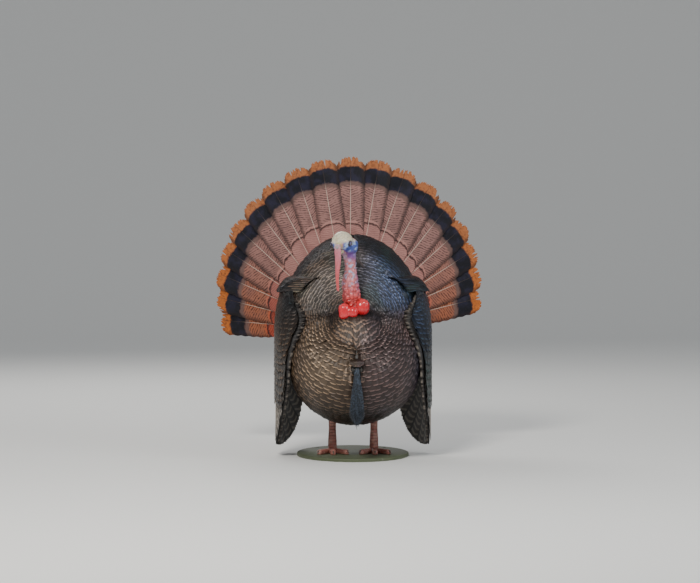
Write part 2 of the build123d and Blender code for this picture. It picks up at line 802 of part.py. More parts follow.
def make_feather(index):
    """A flat tail feather: eye at the hub, quill, and a vane with a round tip."""
    angle = feather_angle(index)
    length = feather_length(angle)
    half = feather_width / 2
    quill = quill_width / 2
    turn = math.radians(angle)
    front_y = fan_front_y + feather_layer(index) * layer_pitch
    plane = Plane(
        origin=(0, front_y, hub_z),
        x_dir=(math.cos(turn), 0, math.sin(turn)),
        z_dir=(0, -1, 0),
    )
    shoulder = length - 0.35 * feather_width
    with BuildPart() as feather:
        with BuildSketch(plane):
            Circle(feather_eye_radius)
            with BuildLine():
                Polyline(
                    (quill, shoulder / 2), (quill, 0), (-quill, 0), (-quill, shoulder / 2)
                )
                Line((-quill, shoulder / 2), (quill, shoulder / 2))
            make_face()
            with BuildLine():
                Line((-quill, quill_length), (quill, quill_length))
                Spline((quill, quill_length), (0.75 * half, 0.4 * length), (half, shoulder))
                ThreePointArc((half, shoulder), (0, length), (-half, shoulder))
                Spline((-half, shoulder), (-0.75 * half, 0.4 * length), (-quill, quill_length))
            make_face()
            Circle(hub_bolt_radius + running_clearance, mode=Mode.SUBTRACT)
        extrude(amount=-feather_thickness)
    return feather.part


for index in range(feather_count):
    export(make_feather(index), "tail_feather_{:02d}".format(index + 1))
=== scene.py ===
"""The looks of a life-size strutting gobbler decoy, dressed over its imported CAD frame.

Metres, +Z up, facing -Y. The head looks a little to -X."""

import json
import math

import bpy
import numpy as np
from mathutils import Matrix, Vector, noise
from mathutils.bvhtree import BVHTree


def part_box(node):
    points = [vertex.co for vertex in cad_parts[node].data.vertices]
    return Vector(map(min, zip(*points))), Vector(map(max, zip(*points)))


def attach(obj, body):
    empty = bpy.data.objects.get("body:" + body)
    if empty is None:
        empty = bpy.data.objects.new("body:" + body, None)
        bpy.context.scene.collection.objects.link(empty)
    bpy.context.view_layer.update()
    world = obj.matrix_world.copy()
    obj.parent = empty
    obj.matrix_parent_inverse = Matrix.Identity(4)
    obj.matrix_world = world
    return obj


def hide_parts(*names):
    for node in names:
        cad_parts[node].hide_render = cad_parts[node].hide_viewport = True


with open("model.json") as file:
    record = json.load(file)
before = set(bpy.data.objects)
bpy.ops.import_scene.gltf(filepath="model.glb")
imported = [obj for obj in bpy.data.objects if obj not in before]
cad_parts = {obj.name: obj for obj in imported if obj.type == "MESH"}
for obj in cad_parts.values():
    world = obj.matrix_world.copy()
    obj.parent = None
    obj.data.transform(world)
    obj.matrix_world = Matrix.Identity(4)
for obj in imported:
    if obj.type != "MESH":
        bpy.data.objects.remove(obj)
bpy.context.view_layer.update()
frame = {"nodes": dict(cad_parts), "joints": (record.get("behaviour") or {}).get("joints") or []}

rng = np.random.default_rng(20)
joints = {joint["name"]: joint for joint in frame["joints"]}


# ------------------------------------------------------------------ places in the frame
def corners_of(node):
    """The low and the high corner of a CAD node's box."""
    low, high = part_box(node)
    return np.array(low), np.array(high)


def points_of(node):
    return np.array([vertex.co[:] for vertex in frame["nodes"][node].data.vertices])


def tree_of(node):
    """A CAD node's faces, to cast rays at."""
    mesh = frame["nodes"][node].data
    corners = [vertex.co[:] for vertex in mesh.vertices]
    return BVHTree.FromPolygons(corners, [face.vertices[:] for face in mesh.polygons])


LEFT_SHELL, RIGHT_SHELL = corners_of("body_shell_left"), corners_of("body_shell_right")
BODY_LOW = np.minimum(LEFT_SHELL[0], RIGHT_SHELL[0])
BODY_HIGH = np.maximum(LEFT_SHELL[1], RIGHT_SHELL[1])
BODY_CENTRE = (BODY_LOW + BODY_HIGH) / 2
NECK = np.array(joints["head_swivel"]["pos_m"])
HUB = np.array(joints["fold_01"]["pos_m"])
FEATHER_COUNT = sum(name.startswith("tail_feather_") for name in frame["nodes"])


# ------------------------------------------------------------------ mesh helpers
def new_object(name, points, faces, material, body, values=None, colours=None, smooth=True):
    """A mesh object that rides on a body, with per-point values and colours for its material."""
    mesh = bpy.data.meshes.new(name)
    mesh.from_pydata(np.reshape(points, (-1, 3)).tolist(), [], np.asarray(faces).tolist())
    for key, data in (values or {}).items():
        layer = mesh.attributes.new(key, "FLOAT", "POINT")
        layer.data.foreach_set("value", np.asarray(data, dtype=np.float32))
    if colours is not None:
        layer = mesh.attributes.new("tint", "FLOAT_COLOR", "POINT")
        rgba = np.ones((len(colours), 4), dtype=np.float32)
        rgba[:, :3] = colours
        layer.data.foreach_set("color", rgba.ravel())
    mesh.polygons.foreach_set("use_smooth", [smooth] * len(mesh.polygons))
    mesh.materials.append(material)
    piece = bpy.data.objects.new(name, mesh)
    bpy.context.scene.collection.objects.link(piece)
    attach(piece, body)
    return piece


def grid_faces(rows, columns, closed=False):
    """Quads of a grid of points laid out row by row. closed joins the last column to the first."""
    across = columns if closed else columns - 1
    row, column = np.meshgrid(np.arange(rows - 1), np.arange(across), indexing="ij")
    after = (column + 1) % columns
    here, below = row * columns, (row + 1) * columns
    return np.stack((here + column, here + after, below + after, below + column), axis=-1).reshape(-1, 4)


def many_grids(count, rows, columns, closed=False):
    """Faces of many grids whose points follow one another."""
    one = grid_faces(rows, columns, closed)
    shift = np.arange(count)[:, None, None] * (rows * columns)
    return (one[None] + shift).reshape(-1, 4)


def normalise(vectors):
    return vectors / np.maximum(np.linalg.norm(vectors, axis=-1, keepdims=True), 1e-9)


def smoothstep(low, high, value):
    share = np.clip((value - low) / (high - low), 0, 1)
    return share * share * (3 - 2 * share)


def hump(first, second=0.0):
    """1 where both distances are 0, falling away as a bell."""
    return np.exp(-(first**2) - second**2)


def ring_of(sides):
    """Angles evenly round a circle."""
    return np.linspace(0, 2 * math.pi, sides, endpoint=False)


def card_grid(rows, columns):
    """Shares along and across a feather card, shaped to spread over many cards."""
    return np.linspace(0, 1, rows)[None, :, None], np.linspace(-1, 1, columns)[None, None, :]


def deep(values):
    """One value per card, shaped to spread over the card's grid."""
    return values[:, None, None]


def card_values(grid, share, along, across):
    """What the plumage material reads: share of the length, and metres along and across."""
    data = {"share": share, "along": along, "across": across}
    return {key: np.broadcast_to(value, grid).ravel() for key, value in data.items()}


def card_lift(share, across, base, rise, droop):
    """Height over the skin: from base to base + rise at the tip, with the sides drooping."""
    return base + rise * share * np.ones_like(across) - droop * across**2 * np.ones_like(share)


def mix(first, second, share):
    """first where share is 0, second where it is 1, for rows of colours."""
    share = np.asarray(share)[..., None]
    return np.asarray(first) * (1 - share) + np.asarray(second) * share


# ------------------------------------------------------------------ material helpers
class Nodes:
    """A short way to write a material's node tree."""

    def __init__(self, name):
        self.material = bpy.data.materials.new(name)
        self.material.use_nodes = True
        self.tree = self.material.node_tree
        self.shader = self.tree.nodes["Principled BSDF"]

    def add(self, kind, inputs=None, **settings):
        node = self.tree.nodes.new(kind)
        for key, value in settings.items():
            setattr(node, key, value)
        for key, value in (inputs or {}).items():
            self.put(node.inputs[key], value)
        return node

    def put(self, socket, value):
        if isinstance(value, bpy.types.NodeSocket):
            self.tree.links.new(value, socket)
        elif isinstance(value, tuple) and len(value) == 3 and socket.type == "RGBA":
            socket.default_value = (*value, 1)
        else:
            socket.default_value = value

    def value(self, attribute):
        return self.add("ShaderNodeAttribute", attribute_name=attribute).outputs["Fac"]

    def colour(self, attribute):
        return self.add("ShaderNodeAttribute", attribute_name=attribute).outputs["Color"]

    def maths(self, operation, first, second=0.0, clamp=False):
        node = self.add("ShaderNodeMath", {0: first, 1: second}, operation=operation)
        node.use_clamp = clamp
        return node.outputs[0]

    def times(self, first, second):
        return self.maths("MULTIPLY", first, second)

    def plus(self, first, second):
        return self.maths("ADD", first, second)

    def minus(self, first, second):
        return self.maths("SUBTRACT", first, second)

    def size_of(self, value):
        return self.maths("ABSOLUTE", value)

    def wave(self, value, pitch):
        """A sine that repeats every pitch."""
        return self.maths("SINE", self.times(value, 2 * math.pi / pitch))

    def patches(self, scale, detail, low, high):
        """Noise as soft patches: 0 below low, 1 above high."""
        return self.ramp(self.noise(scale, detail), low, high)

    def wobble(self, scale, detail, size):
        """Noise about 0, at most half of size either way."""
        return self.times(self.minus(self.noise(scale, detail), 0.5), size)

    def band(self, value, low, high, soft):
        """1 between low and high, with soft edges."""
        up = self.ramp(value, low - soft, low + soft)
        down = self.ramp(value, high + soft, high - soft)
        return self.times(up, down)

    def ramp(self, value, low, high):
        node = self.add("ShaderNodeMapRange", {"Value": value, "From Min": low, "From Max": high})
        node.interpolation_type = "SMOOTHSTEP" if low < high else "LINEAR"
        return node.outputs["Result"]

    def blend(self, first, second, share, blend_type="MIX"):
        node = self.add("ShaderNodeMix", data_type="RGBA", blend_type=blend_type)
        self.put(node.inputs[0], share)
        self.put(node.inputs[6], first)
        self.put(node.inputs[7], second)
        return node.outputs[2]

    def noise(self, scale, detail=3.0, vector=None, distortion=0.0):
        if vector is None:
            vector = self.add("ShaderNodeTexCoord").outputs["Object"]
        inputs = {"Vector": vector, "Scale": scale, "Detail": detail, "Distortion": distortion}
        return self.add("ShaderNodeTexNoise", inputs).outputs["Fac"]

    def bump(self, height, strength, distance):
        node = self.add("ShaderNodeBump", {"Height": height, "Strength": strength, "Distance": distance})
        self.put(self.shader.inputs["Normal"], node.outputs["Normal"])

    def finish(self, colour=None, **constants):
        if colour is not None:
            self.put(self.shader.inputs["Base Color"], colour)
        for key, value in constants.items():
            self.put(self.shader.inputs[key.replace("_", " ")], value)
        return self.material


def grained_material(name, dark, light, grain, patches=None, pits=None, **finish):
    """Two colours mixed by noise, with fine pits. grain is the noise's scale and detail, patches its low and
    high, and pits their noise's scale and detail with their strength and depth."""
    nodes = Nodes(name)
    share = nodes.patches(*grain, *patches) if patches else nodes.noise(*grain)
    if pits:
        scale, detail, strength, depth = pits
        nodes.bump(nodes.noise(scale, detail), strength, depth)
    return nodes.finish(nodes.blend(dark, light, share), **finish)


BLACK = (0.0, 0.0, 0.0)


# ------------------------------------------------------------------ plumage material
def barb_height(nodes, along, across, pitch):
    """Fine slanted ridges, like a vane's barbs. along and across are in metres."""
    slant = nodes.times(nodes.size_of(across), 1.1)
    return nodes.wave(nodes.minus(along, slant), pitch)


def plumage_material(name, edge_colour, sheen_colour):
    """Contour feathers: a glossy band and a dark edge near each tip, over a tint that varies."""
    nodes = Nodes(name)
    place = nodes.plus(nodes.value("share"), nodes.wobble(260.0, 2.0, 0.05))
    tint = nodes.colour("tint")
    gloss = nodes.blend(tint, sheen_colour, nodes.times(nodes.patches(38.0, 3.0, 0.45, 0.75), 0.35))
    root = nodes.blend(tint, (0.003, 0.0028, 0.003), 0.80)
    colour = nodes.blend(root, gloss, nodes.band(place, 0.835, 0.920, 0.016))
    colour = nodes.blend(colour, edge_colour, nodes.ramp(place, 0.925, 0.945))
    colour = nodes.blend(colour, BLACK, nodes.times(nodes.patches(900.0, 2.0, 0.5, 0.8), 0.3))
    nodes.bump(barb_height(nodes, nodes.value("along"), nodes.value("across"), 0.0011), 0.35, 0.0004)
    return nodes.finish(colour, Metallic=0.45, Roughness=0.36, Coat_Weight=0.12, Coat_Roughness=0.3)


# ------------------------------------------------------------------ tail feathers
VANE_HALF_WIDTH = 0.036
COVERT_HALF_WIDTH = 0.033
QUILL_START = 0.010
VANE_START = 0.060
COVERT_START = 0.050
TIP_BOW = 0.008  # how far back a feather has bowed at BOW_REACH from the hub
BOW_REACH = 0.45
TIP_CORNER = 0.021
LAYER_DEPTH = 0.0016


def vane_grid(length, half_width, start, rows, columns, ragged, seed, corner=TIP_CORNER):
    """Along, across and share-across values of one vane, with a square-round, nicked tip."""
    draw = np.random.default_rng(seed)
    across_share = np.linspace(-1, 1, columns)
    tip = length - corner * np.abs(across_share) ** 3.4
    tip -= ragged * draw.random(columns) ** 2 * 0.006
    for _ in range(int(ragged * draw.integers(2, 5))):
        notch = draw.uniform(-0.85, 0.85)
        tip -= draw.uniform(0.005, 0.014) * np.exp(-(((across_share - notch) / 0.045) ** 2))
    share = np.linspace(0, 1, rows)[:, None]
    along = start + (tip[None, :] - start) * share
    widen = 0.16 + 0.84 * smoothstep(start, start + 0.62 * (length - start), along)
    edge_wave = 1 + 0.025 * np.sin(along * 310 + seed) * np.abs(across_share) ** 4
    across = across_share[None, :] * half_width * widen * edge_wave
    return along, across, np.broadcast_to(across_share, along.shape)


def tail_bow(along):
    """How far a feather has bowed back at a distance from the hub: the same for all, so that they stack."""
    return TIP_BOW * (along / BOW_REACH) ** 2


def feather_facts(index):
    """Angle from upright (positive towards -X), length and front face of one tail feather's CAD plate."""
    points = points_of("tail_feather_{:02d}".format(index + 1)) - HUB
    far = points[np.hypot(points[:, 0], points[:, 2]) > 0.15]
    middle = (far.max(axis=0) + far.min(axis=0)) / 2
    reach = far[np.hypot(far[:, 0], far[:, 2]).argmax()]
    angle = math.atan2(-reach[0], reach[2])
    angle = 0.5 * (angle + math.atan2(-middle[0], middle[2]))
    length = np.hypot(far[:, 0], far[:, 2]).max()
    return angle, length, points[:, 1].min() + HUB[1]


def place_on_fan(along, across, depth, angle, front):
    """Points of a feather that lies at an angle in the fan, set behind its front face by depth."""
    x = -along * math.sin(angle) + across * math.cos(angle)
    z = along * math.cos(angle) + across * math.sin(angle)
    return np.stack(np.broadcast_arrays(HUB[0] + x, front + depth, HUB[2] + z), axis=-1).reshape(-1, 3)


def tail_material():
    """Barred vanes with a dark band and a pale fringe, pink coverts and cream shafts, redder to the sides."""
    nodes = Nodes("tail_plumage")
    along, across, tip = nodes.value("along"), nodes.value("across"), nodes.value("from_tip")
    rust, kind = nodes.value("rust"), nodes.value("kind")
    slant = nodes.times(nodes.size_of(across), 0.30)
    phase = nodes.plus(nodes.minus(along, slant), nodes.wobble(60.0, 3.0, 0.010))
    edge = nodes.plus(tip, nodes.wobble(120.0, 3.0, 0.009))

    def rusted(middle_colour, side_colour):
        return nodes.blend(middle_colour, side_colour, rust)

    # Vane: fine bars, a dark band, then a fringe, and painted shade along its edges
    bars = nodes.ramp(nodes.wave(phase, 0.0060), -0.1, 0.75)
    bars = nodes.times(bars, nodes.patches(150.0, 3.0, 0.30, 0.62))
    pale = rusted((0.30, 0.155, 0.135), (0.33, 0.105, 0.05))
    dark = rusted((0.052, 0.026, 0.026), (0.050, 0.013, 0.009))
    vane = nodes.blend(pale, dark, nodes.times(bars, 0.95))
    vane = nodes.blend(vane, (0.15, 0.080, 0.075), nodes.times(nodes.patches(30.0, 4.0, 0.4, 0.7), 0.35))
    vane = nodes.blend(vane, (0.13, 0.075, 0.065), nodes.band(edge, 0.062, 0.074, 0.003))
    night = nodes.blend((0.0045, 0.0045, 0.009), (0.014, 0.013, 0.030), nodes.patches(45.0, 2.0, 0.4, 0.7))
    vane = nodes.blend(vane, night, nodes.ramp(edge, 0.066, 0.061))
    fringe = rusted((0.36, 0.125, 0.045), (0.46, 0.125, 0.020))
    fringe = nodes.blend(fringe, (0.17, 0.050, 0.018), nodes.patches(190.0, 4.0, 0.45, 0.75))
    vane = nodes.blend(vane, fringe, nodes.ramp(edge, 0.0265, 0.0225))
    # Painted shade: the vane darkens towards its edges, for the shadow in the gaps between overlapping
    # feathers
    rim = nodes.ramp(nodes.size_of(across), 0.024, 0.034)
    vane = nodes.blend(vane, (0.012, 0.006, 0.006), nodes.times(rim, 0.62))

    # Covert: broad and pinkish, barred, with a dark crescent inside a paler edge
    fine = nodes.ramp(nodes.wave(phase, 0.0052), 0.0, 0.9)
    pink = rusted((0.40, 0.195, 0.17), (0.36, 0.060, 0.032))
    shade = rusted((0.19, 0.080, 0.072), (0.12, 0.016, 0.011))
    covert = nodes.blend(pink, shade, nodes.times(fine, 0.6))
    covert = nodes.blend(covert, shade, nodes.times(nodes.patches(24.0, 3.0, 0.45, 0.75), 0.5))
    covert = nodes.blend(covert, (0.030, 0.012, 0.012), nodes.band(edge, 0.0070, 0.0115, 0.0022))
    pale_edge = rusted((0.40, 0.20, 0.17), (0.42, 0.095, 0.04))
    covert = nodes.blend(covert, pale_edge, nodes.ramp(edge, 0.0070, 0.0050))

    cream = nodes.blend((0.05, 0.035, 0.03), (0.58, 0.45, 0.37), nodes.ramp(tip, 0.050, 0.090))
    colour = nodes.blend(vane, covert, nodes.ramp(kind, 1.4, 1.6))
    colour = nodes.blend(colour, cream, nodes.band(kind, 0.6, 1.4, 0.1))
    height = nodes.times(barb_height(nodes, along, across, 0.0014), nodes.patches(90.0, 2.0, 0.2, 0.6))
    nodes.bump(height, 0.4, 0.0005)
    return nodes.finish(colour, Metallic=0.0, Roughness=0.58, Specular_IOR_Level=0.22)


VANE, SHAFT, COVERT = 0, 1, 2


def tail_feather(index, material):
    """One feather with its shaft and its two coverts, in its own layer of the fan."""
    angle, length, front = feather_facts(index)
    lean = np.array(abs(math.degrees(angle)))
    store = {key: [] for key in ("along", "across", "from_tip", "kind")}
    parts, faces = [], []

    def take(points, quads, kind, along, across, from_tip):
        faces.append(quads + sum(len(part) for part in parts))
        parts.append(points)
        for key, data in (("along", along), ("across", across), ("from_tip", from_tip), ("kind", kind)):
            store[key].append(np.broadcast_to(np.ravel(data), len(points)))

    def sheet(reach, half_width, start, depth, kind, turn, rows, columns, ragged, seed):
        along, across, share = vane_grid(reach, half_width, start, rows, columns, ragged, seed)
        bow = tail_bow(along) + 0.0004 * share**2
        flutter = 0.0002 * np.sin(along * 70 + seed) * np.abs(share)
        points = place_on_fan(along, across, depth + bow + flutter, angle + turn, front)
        from_tip = reach - along - TIP_CORNER * 0.62 * np.abs(share) ** 3.4
        take(points, grid_faces(rows, columns), kind, along, across, from_tip)

    sheet(length, VANE_HALF_WIDTH, VANE_START, 0.0011, VANE, 0.0, 96, 61, 1.0, index + 1)
    varied = np.random.default_rng(index + 7).uniform(-0.009, 0.009)
    reach = 0.283 - 0.066 * float(smoothstep(10, 80, lean)) + varied
    sheet(reach, COVERT_HALF_WIDTH, COVERT_START, 0.0006, COVERT, 0.0, 60, 25, 0.35, index + 40)
    aside = math.radians(3.4 if index % 2 else -3.4)
    sheet(0.80 * reach, 0.028, COVERT_START, 0.0002, COVERT, aside, 44, 21, 0.3, index + 80)

    # Shaft: an oval taper that stands a little proud of the vane
    rows, sides = 60, 8
    along = np.linspace(QUILL_START, length - 0.012, rows)[:, None]
    taper = 1 - 0.80 * (along / length)
    ring = ring_of(sides)[None, :]
    across = 0.0016 * taper * np.cos(ring)
    depth = 0.0009 + 0.0008 * taper * np.sin(ring) + tail_bow(along)
    along = np.broadcast_to(along, across.shape)
    points = place_on_fan(along, across, depth, angle, front)
    take(points, grid_faces(rows, sides, closed=True), SHAFT, along, across, length - along)

    # Eye: the moulded ring that the hub bolt passes through
    sides, bore, rim = 28, 0.0042, 0.0088
    radius = np.array([bore, rim, rim, bore, bore])[:, None]
    depth = np.array([0.0001, 0.0001, LAYER_DEPTH, LAYER_DEPTH, 0.0001])[:, None]
    ring = ring_of(sides)[None, :]
    points = place_on_fan(radius * np.cos(ring), radius * np.sin(ring), depth, angle, front)
    take(points, grid_faces(5, sides, closed=True), SHAFT, 0.05, 0.0, 0.2)

    values = {key: np.concatenate(data) for key, data in store.items()}
    points = np.concatenate(parts)
    values["rust"] = np.full(len(points), float(smoothstep(38, 82, lean)))
    number = "{:02d}".format(index + 1)
    node, faces = "tail_feather_" + number, np.concatenate(faces)
    piece = new_object("tail_plume_" + number, points, faces, material, node, values)
    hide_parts(node)


# ------------------------------------------------------------------ body surface
class BodySurface:
    """The body's outer skin as a radius in every direction from its middle.

    The breast's groove and lobes and the hollows beside the neck are pressed into it. A direction is a polar
    angle from the neck and a turn about that axis."""

    POLAR, TURN = 181, 361

    def __init__(self):
        self.centre = BODY_CENTRE.copy()
        seat = np.array([0.0, NECK[1], NECK[2] - 0.006])
        self.axis = normalise(seat - self.centre)
        self.right = normalise(np.cross([0.0, 0.0, 1.0], self.axis))
        self.up = np.cross(self.axis, self.right)
        polar = np.radians(np.linspace(0, 180, self.POLAR))[:, None]
        turn = np.radians(np.linspace(0, 360, self.TURN))[None, :]
        self.way = self.direction(polar, turn)
        self.radius = self.cast()
        self.press()
        self.points = self.centre + self.way * self.radius[..., None]
        by_polar = np.gradient(self.points, axis=0)
        by_turn = np.gradient(self.points, axis=1)
        self.normals = normalise(np.cross(by_polar, by_turn))
        outward = np.sum(self.normals * self.way, axis=-1, keepdims=True)
        self.normals = np.where(outward < 0, -self.normals, self.normals)
        self.normals[0], self.normals[-1] = self.axis, -self.axis

    def direction(self, polar, turn):
        flat = np.sin(polar)[..., None]
        sideways = np.cos(turn)[..., None] * self.up + np.sin(turn)[..., None] * self.right
        return np.cos(polar)[..., None] * self.axis + flat * sideways

    def cast(self):
        """Radius of the CAD shells' outer face, found from outside, and closed over the neck's opening."""
        trees = [tree_of(node) for node in ("body_shell_left", "body_shell_right")]
        radius = np.zeros(self.way.shape[:2])
        centre, start = Vector(self.centre), 0.6
        for row in range(self.POLAR):
            for column in range(self.TURN):
                way = Vector(self.way[row, column])
                for tree in trees:
                    hit = tree.ray_cast(centre + way * start, -way)
                    if hit[0] is not None:
                        radius[row, column] = max(radius[row, column], start - hit[3])
        opening = 13
        ring = radius[opening]
        for row in range(opening):
            share = row / opening
            radius[row] = (1 - share) * ring.mean() + share * ring
        return radius

    def press(self):
        """The groove down the breast, its two lobes, and the hollows beside the neck."""
        points = self.centre + self.way * self.radius[..., None]
        aside, y, z = np.abs(points[..., 0]), points[..., 1], points[..., 2]
        rise = z - NECK[2]
        front = smoothstep(-0.06, -0.15, y)
        breast = front * smoothstep(-0.03, -0.09, rise)
        groove = hump(aside / 0.0075) * breast * smoothstep(0.16, 0.22, z)
        lobes = hump((aside - 0.072) / 0.05, (rise + 0.115) / 0.075) * breast
        hollow = hump((aside - 0.062) / 0.032, (rise - 0.008) / 0.026) * front
        collar = hump(aside / 0.045, (rise - 0.012) / 0.03) * front
        lip_rise = 0.010 * np.cos((aside - 0.065) / 0.030) - 0.022
        lip = hump((rise - lip_rise) / 0.011) * smoothstep(0.020, 0.045, aside)
        lip = lip * smoothstep(0.125, 0.095, aside) * front
        self.radius += 0.008 * lobes + 0.009 * lip - 0.016 * groove - 0.019 * hollow - 0.004 * collar

    def tree(self, first, last):
        """The skin between two rows of polar angles, to cast rays at."""
        rings = self.points[first:last, :-1]
        faces = grid_faces(*rings.shape[:2], closed=True)
        return BVHTree.FromPolygons(rings.reshape(-1, 3).tolist(), faces.tolist())

    def look(self, table, polar, turn):
        """Reads a table over directions, between its entries."""
        row = np.clip(np.degrees(polar), 0, 179.999)
        column = np.degrees(turn) % 360
        r0, c0 = row.astype(int), column.astype(int)
        fr, fc = (row - r0), (column - c0)
        if table.ndim == 3:
            fr, fc = fr[..., None], fc[..., None]
        top = table[r0, c0] * (1 - fc) + table[r0, c0 + 1] * fc
        low = table[r0 + 1, c0] * (1 - fc) + table[r0 + 1, c0 + 1] * fc
        return top * (1 - fr) + low * fr

    def angles(self, points):
        way = normalise(points - self.centre)
        polar = np.arccos(np.clip(way @ self.axis, -1, 1))
        return polar, np.arctan2(way @ self.right, way @ self.up)

    def at(self, polar, turn, lift=0.0):
        """Points on the skin, raised by lift along its normal."""
        radius = self.look(self.radius, polar, turn)
        normal = normalise(self.look(self.normals, polar, turn))
        points = self.centre + self.direction(polar, turn) * radius[..., None]
        return points + normal * np.asarray(lift)[..., None], normal


def feather_outline(share, blunt=0.42):
    """Half width of a body feather at each share of its length, as a share of its widest."""
    rise = smoothstep(-0.25, 0.5, share)
    tip = np.sqrt(np.clip(1 - (np.clip(share - (1 - blunt), 0, None) / blunt) ** 3.0, 0, 1))
    return rise * tip


def lay_feathers(surface, polar, turn, length, half_width, base_lift, tip_lift, sway):
    """Feather cards that follow the skin. Every argument but the surface is one value per feather."""
    count, rows, columns = len(polar), 8, 7
    root, normal = surface.at(polar, turn)
    ahead, _ = surface.at(polar + 0.02, turn)
    along_way = normalise(ahead - root)
    aside = normalise(np.cross(normal, along_way))
    along_way = normalise(along_way + aside * sway[:, None])
    aside = normalise(np.cross(normal, along_way))
    share, across = card_grid(rows, columns)
    width = feather_outline(share) * deep(half_width) * across
    run = share * deep(length) * np.ones_like(across)
    flat = root[:, None, None, :] + along_way[:, None, None, :] * run[..., None]
    flat = flat + aside[:, None, None, :] * width[..., None]
    lift = card_lift(share, across, deep(base_lift), deep(tip_lift - base_lift), 0.0012)
    where_polar, where_turn = surface.angles(flat)
    points, _ = surface.at(where_polar, where_turn, lift)
    values = card_values((count, rows, columns), share, run, width)
    return points, many_grids(count, rows, columns), values, rows * columns


NIGHT = (0.006, 0.008, 0.013)
STEEL_BLUE = (0.030, 0.050, 0.105)
BRONZE = (0.190, 0.112, 0.064)
# Painted highlight colour for the golden shine on the breast's lit lobe
HIGHLIGHT_GOLD = (0.60, 0.42, 0.27)
MAUVE = (0.200, 0.125, 0.115)
GREEN = (0.020, 0.062, 0.045)
CHESTNUT = (0.115, 0.030, 0.014)


def body_tint(points, polar):
    """Colour of the plumage, black over the back. Bronze to the bird's right and blue to its left are the
    feathers' own sheen colours, split by side as painted light: bronze for the lit side, blue for a painted
    sky reflection.
    """
    x, y, z = points[:, 0], points[:, 1], points[:, 2]
    height = (z - BODY_LOW[2]) / (BODY_HIGH[2] - BODY_LOW[2])
    # side splits the colours as painted light: bronze for the lit side, mauve and blue for a painted sky
    # reflection on the other
    side = smoothstep(-0.03, 0.07, x)
    mantle = smoothstep(NECK[2] - 0.02, NECK[2] + 0.03, z)
    mantle_colour = mix(BRONZE, STEEL_BLUE, side)
    breast_colour = mix(BRONZE, MAUVE, smoothstep(-0.01, 0.03, x))
    # Painted highlight: a golden shine on the lit breast lobe
    painted_highlight = hump((x + 0.075) / 0.050, (z - NECK[2] + 0.11) / 0.075) * smoothstep(-0.1, -0.16, y)
    breast_colour = mix(breast_colour, HIGHLIGHT_GOLD, 0.9 * painted_highlight)
    breast_colour = mix(breast_colour, STEEL_BLUE, 0.8 * smoothstep(0.10, 0.16, x))
    breast_colour = mix(breast_colour, NIGHT, 0.75 * smoothstep(0.30, 0.05, height))
    colour = mix(breast_colour, mantle_colour, mantle)
    # Painted shade in the hollows beside the neck, which press() sinks into the skin
    hollow_shade = hump((np.abs(x) - 0.058) / 0.034, (z - NECK[2] - 0.016) / 0.034)
    colour = mix(colour, NIGHT, 0.85 * hollow_shade)
    degrees = np.degrees(polar)
    # Painted sheen: a pale band round the shoulders, warm on the lit side and bluish on the other
    painted_sheen_band = smoothstep(20, 34, degrees) * smoothstep(64, 50, degrees) * mantle
    colour = mix(colour, mix((0.36, 0.31, 0.27), (0.12, 0.17, 0.34), side), 0.55 * painted_sheen_band)
    back = smoothstep(58, 70, degrees + 4 * side) * smoothstep(0.42, 0.66, height)
    colour = mix(colour, NIGHT, 0.92 * back)
    glints = np.array([noise.noise(Vector((a * 18, b * 18, c * 18))) for a, b, c in points])
    sparkle = smoothstep(0.55, 0.85, glints + 0.5)
    colour = mix(colour, GREEN, 0.5 * sparkle * mantle)
    rump = smoothstep(0.10, 0.16, y) * smoothstep(0.25, 0.45, height)
    return mix(colour, CHESTNUT, 0.75 * rump)


def under_skin(surface, material):
    """The skin between and beneath the contour feathers, which stands for the two body shells; its near-black
    colour is painted shade in the gaps between the feathers.
    """
    polar, turn = np.radians(np.arange(0, 181, 2)), np.radians(np.arange(0, 360, 2))
    polar, turn = np.meshgrid(polar, turn, indexing="ij")
    points, _ = surface.at(polar, turn, np.full(polar.shape, -0.002))
    faces = grid_faces(*polar.shape, closed=True)
    skin = new_object("body_skin", points, faces, material, "root")
    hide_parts("body_shell_left", "body_shell_right")


def feather_roots(surface):
    """Polar angle and turn of every contour feather's root, in rings round the neck."""
    polars, turns = [], []
    polar, odd = math.radians(11), 0.0
    while polar < math.radians(172):
        turn = np.radians(np.arange(0, 360, 4.0))
        ring, _ = surface.at(np.full(turn.shape, polar), turn)
        length = np.linalg.norm(ring - np.roll(ring, 1, axis=0), axis=1).sum()
        degrees = np.array(math.degrees(polar))
        spacing = 0.009 + 0.009 * float(smoothstep(20, 110, degrees))
        count = max(6, int(length / spacing))
        places = (np.arange(count) + odd + rng.uniform(-0.22, 0.22, count)) * 2 * math.pi / count
        polars.append(np.full(count, polar) + rng.normal(0, 0.0018, count))
        turns.append(places)
        reach = np.linalg.norm(ring - surface.centre, axis=1).mean()
        pitch = 0.0070 + 0.0035 * float(smoothstep(50, 120, degrees))
        polar += pitch / reach
        odd = 0.5 - odd
    return np.concatenate(polars), np.concatenate(turns)


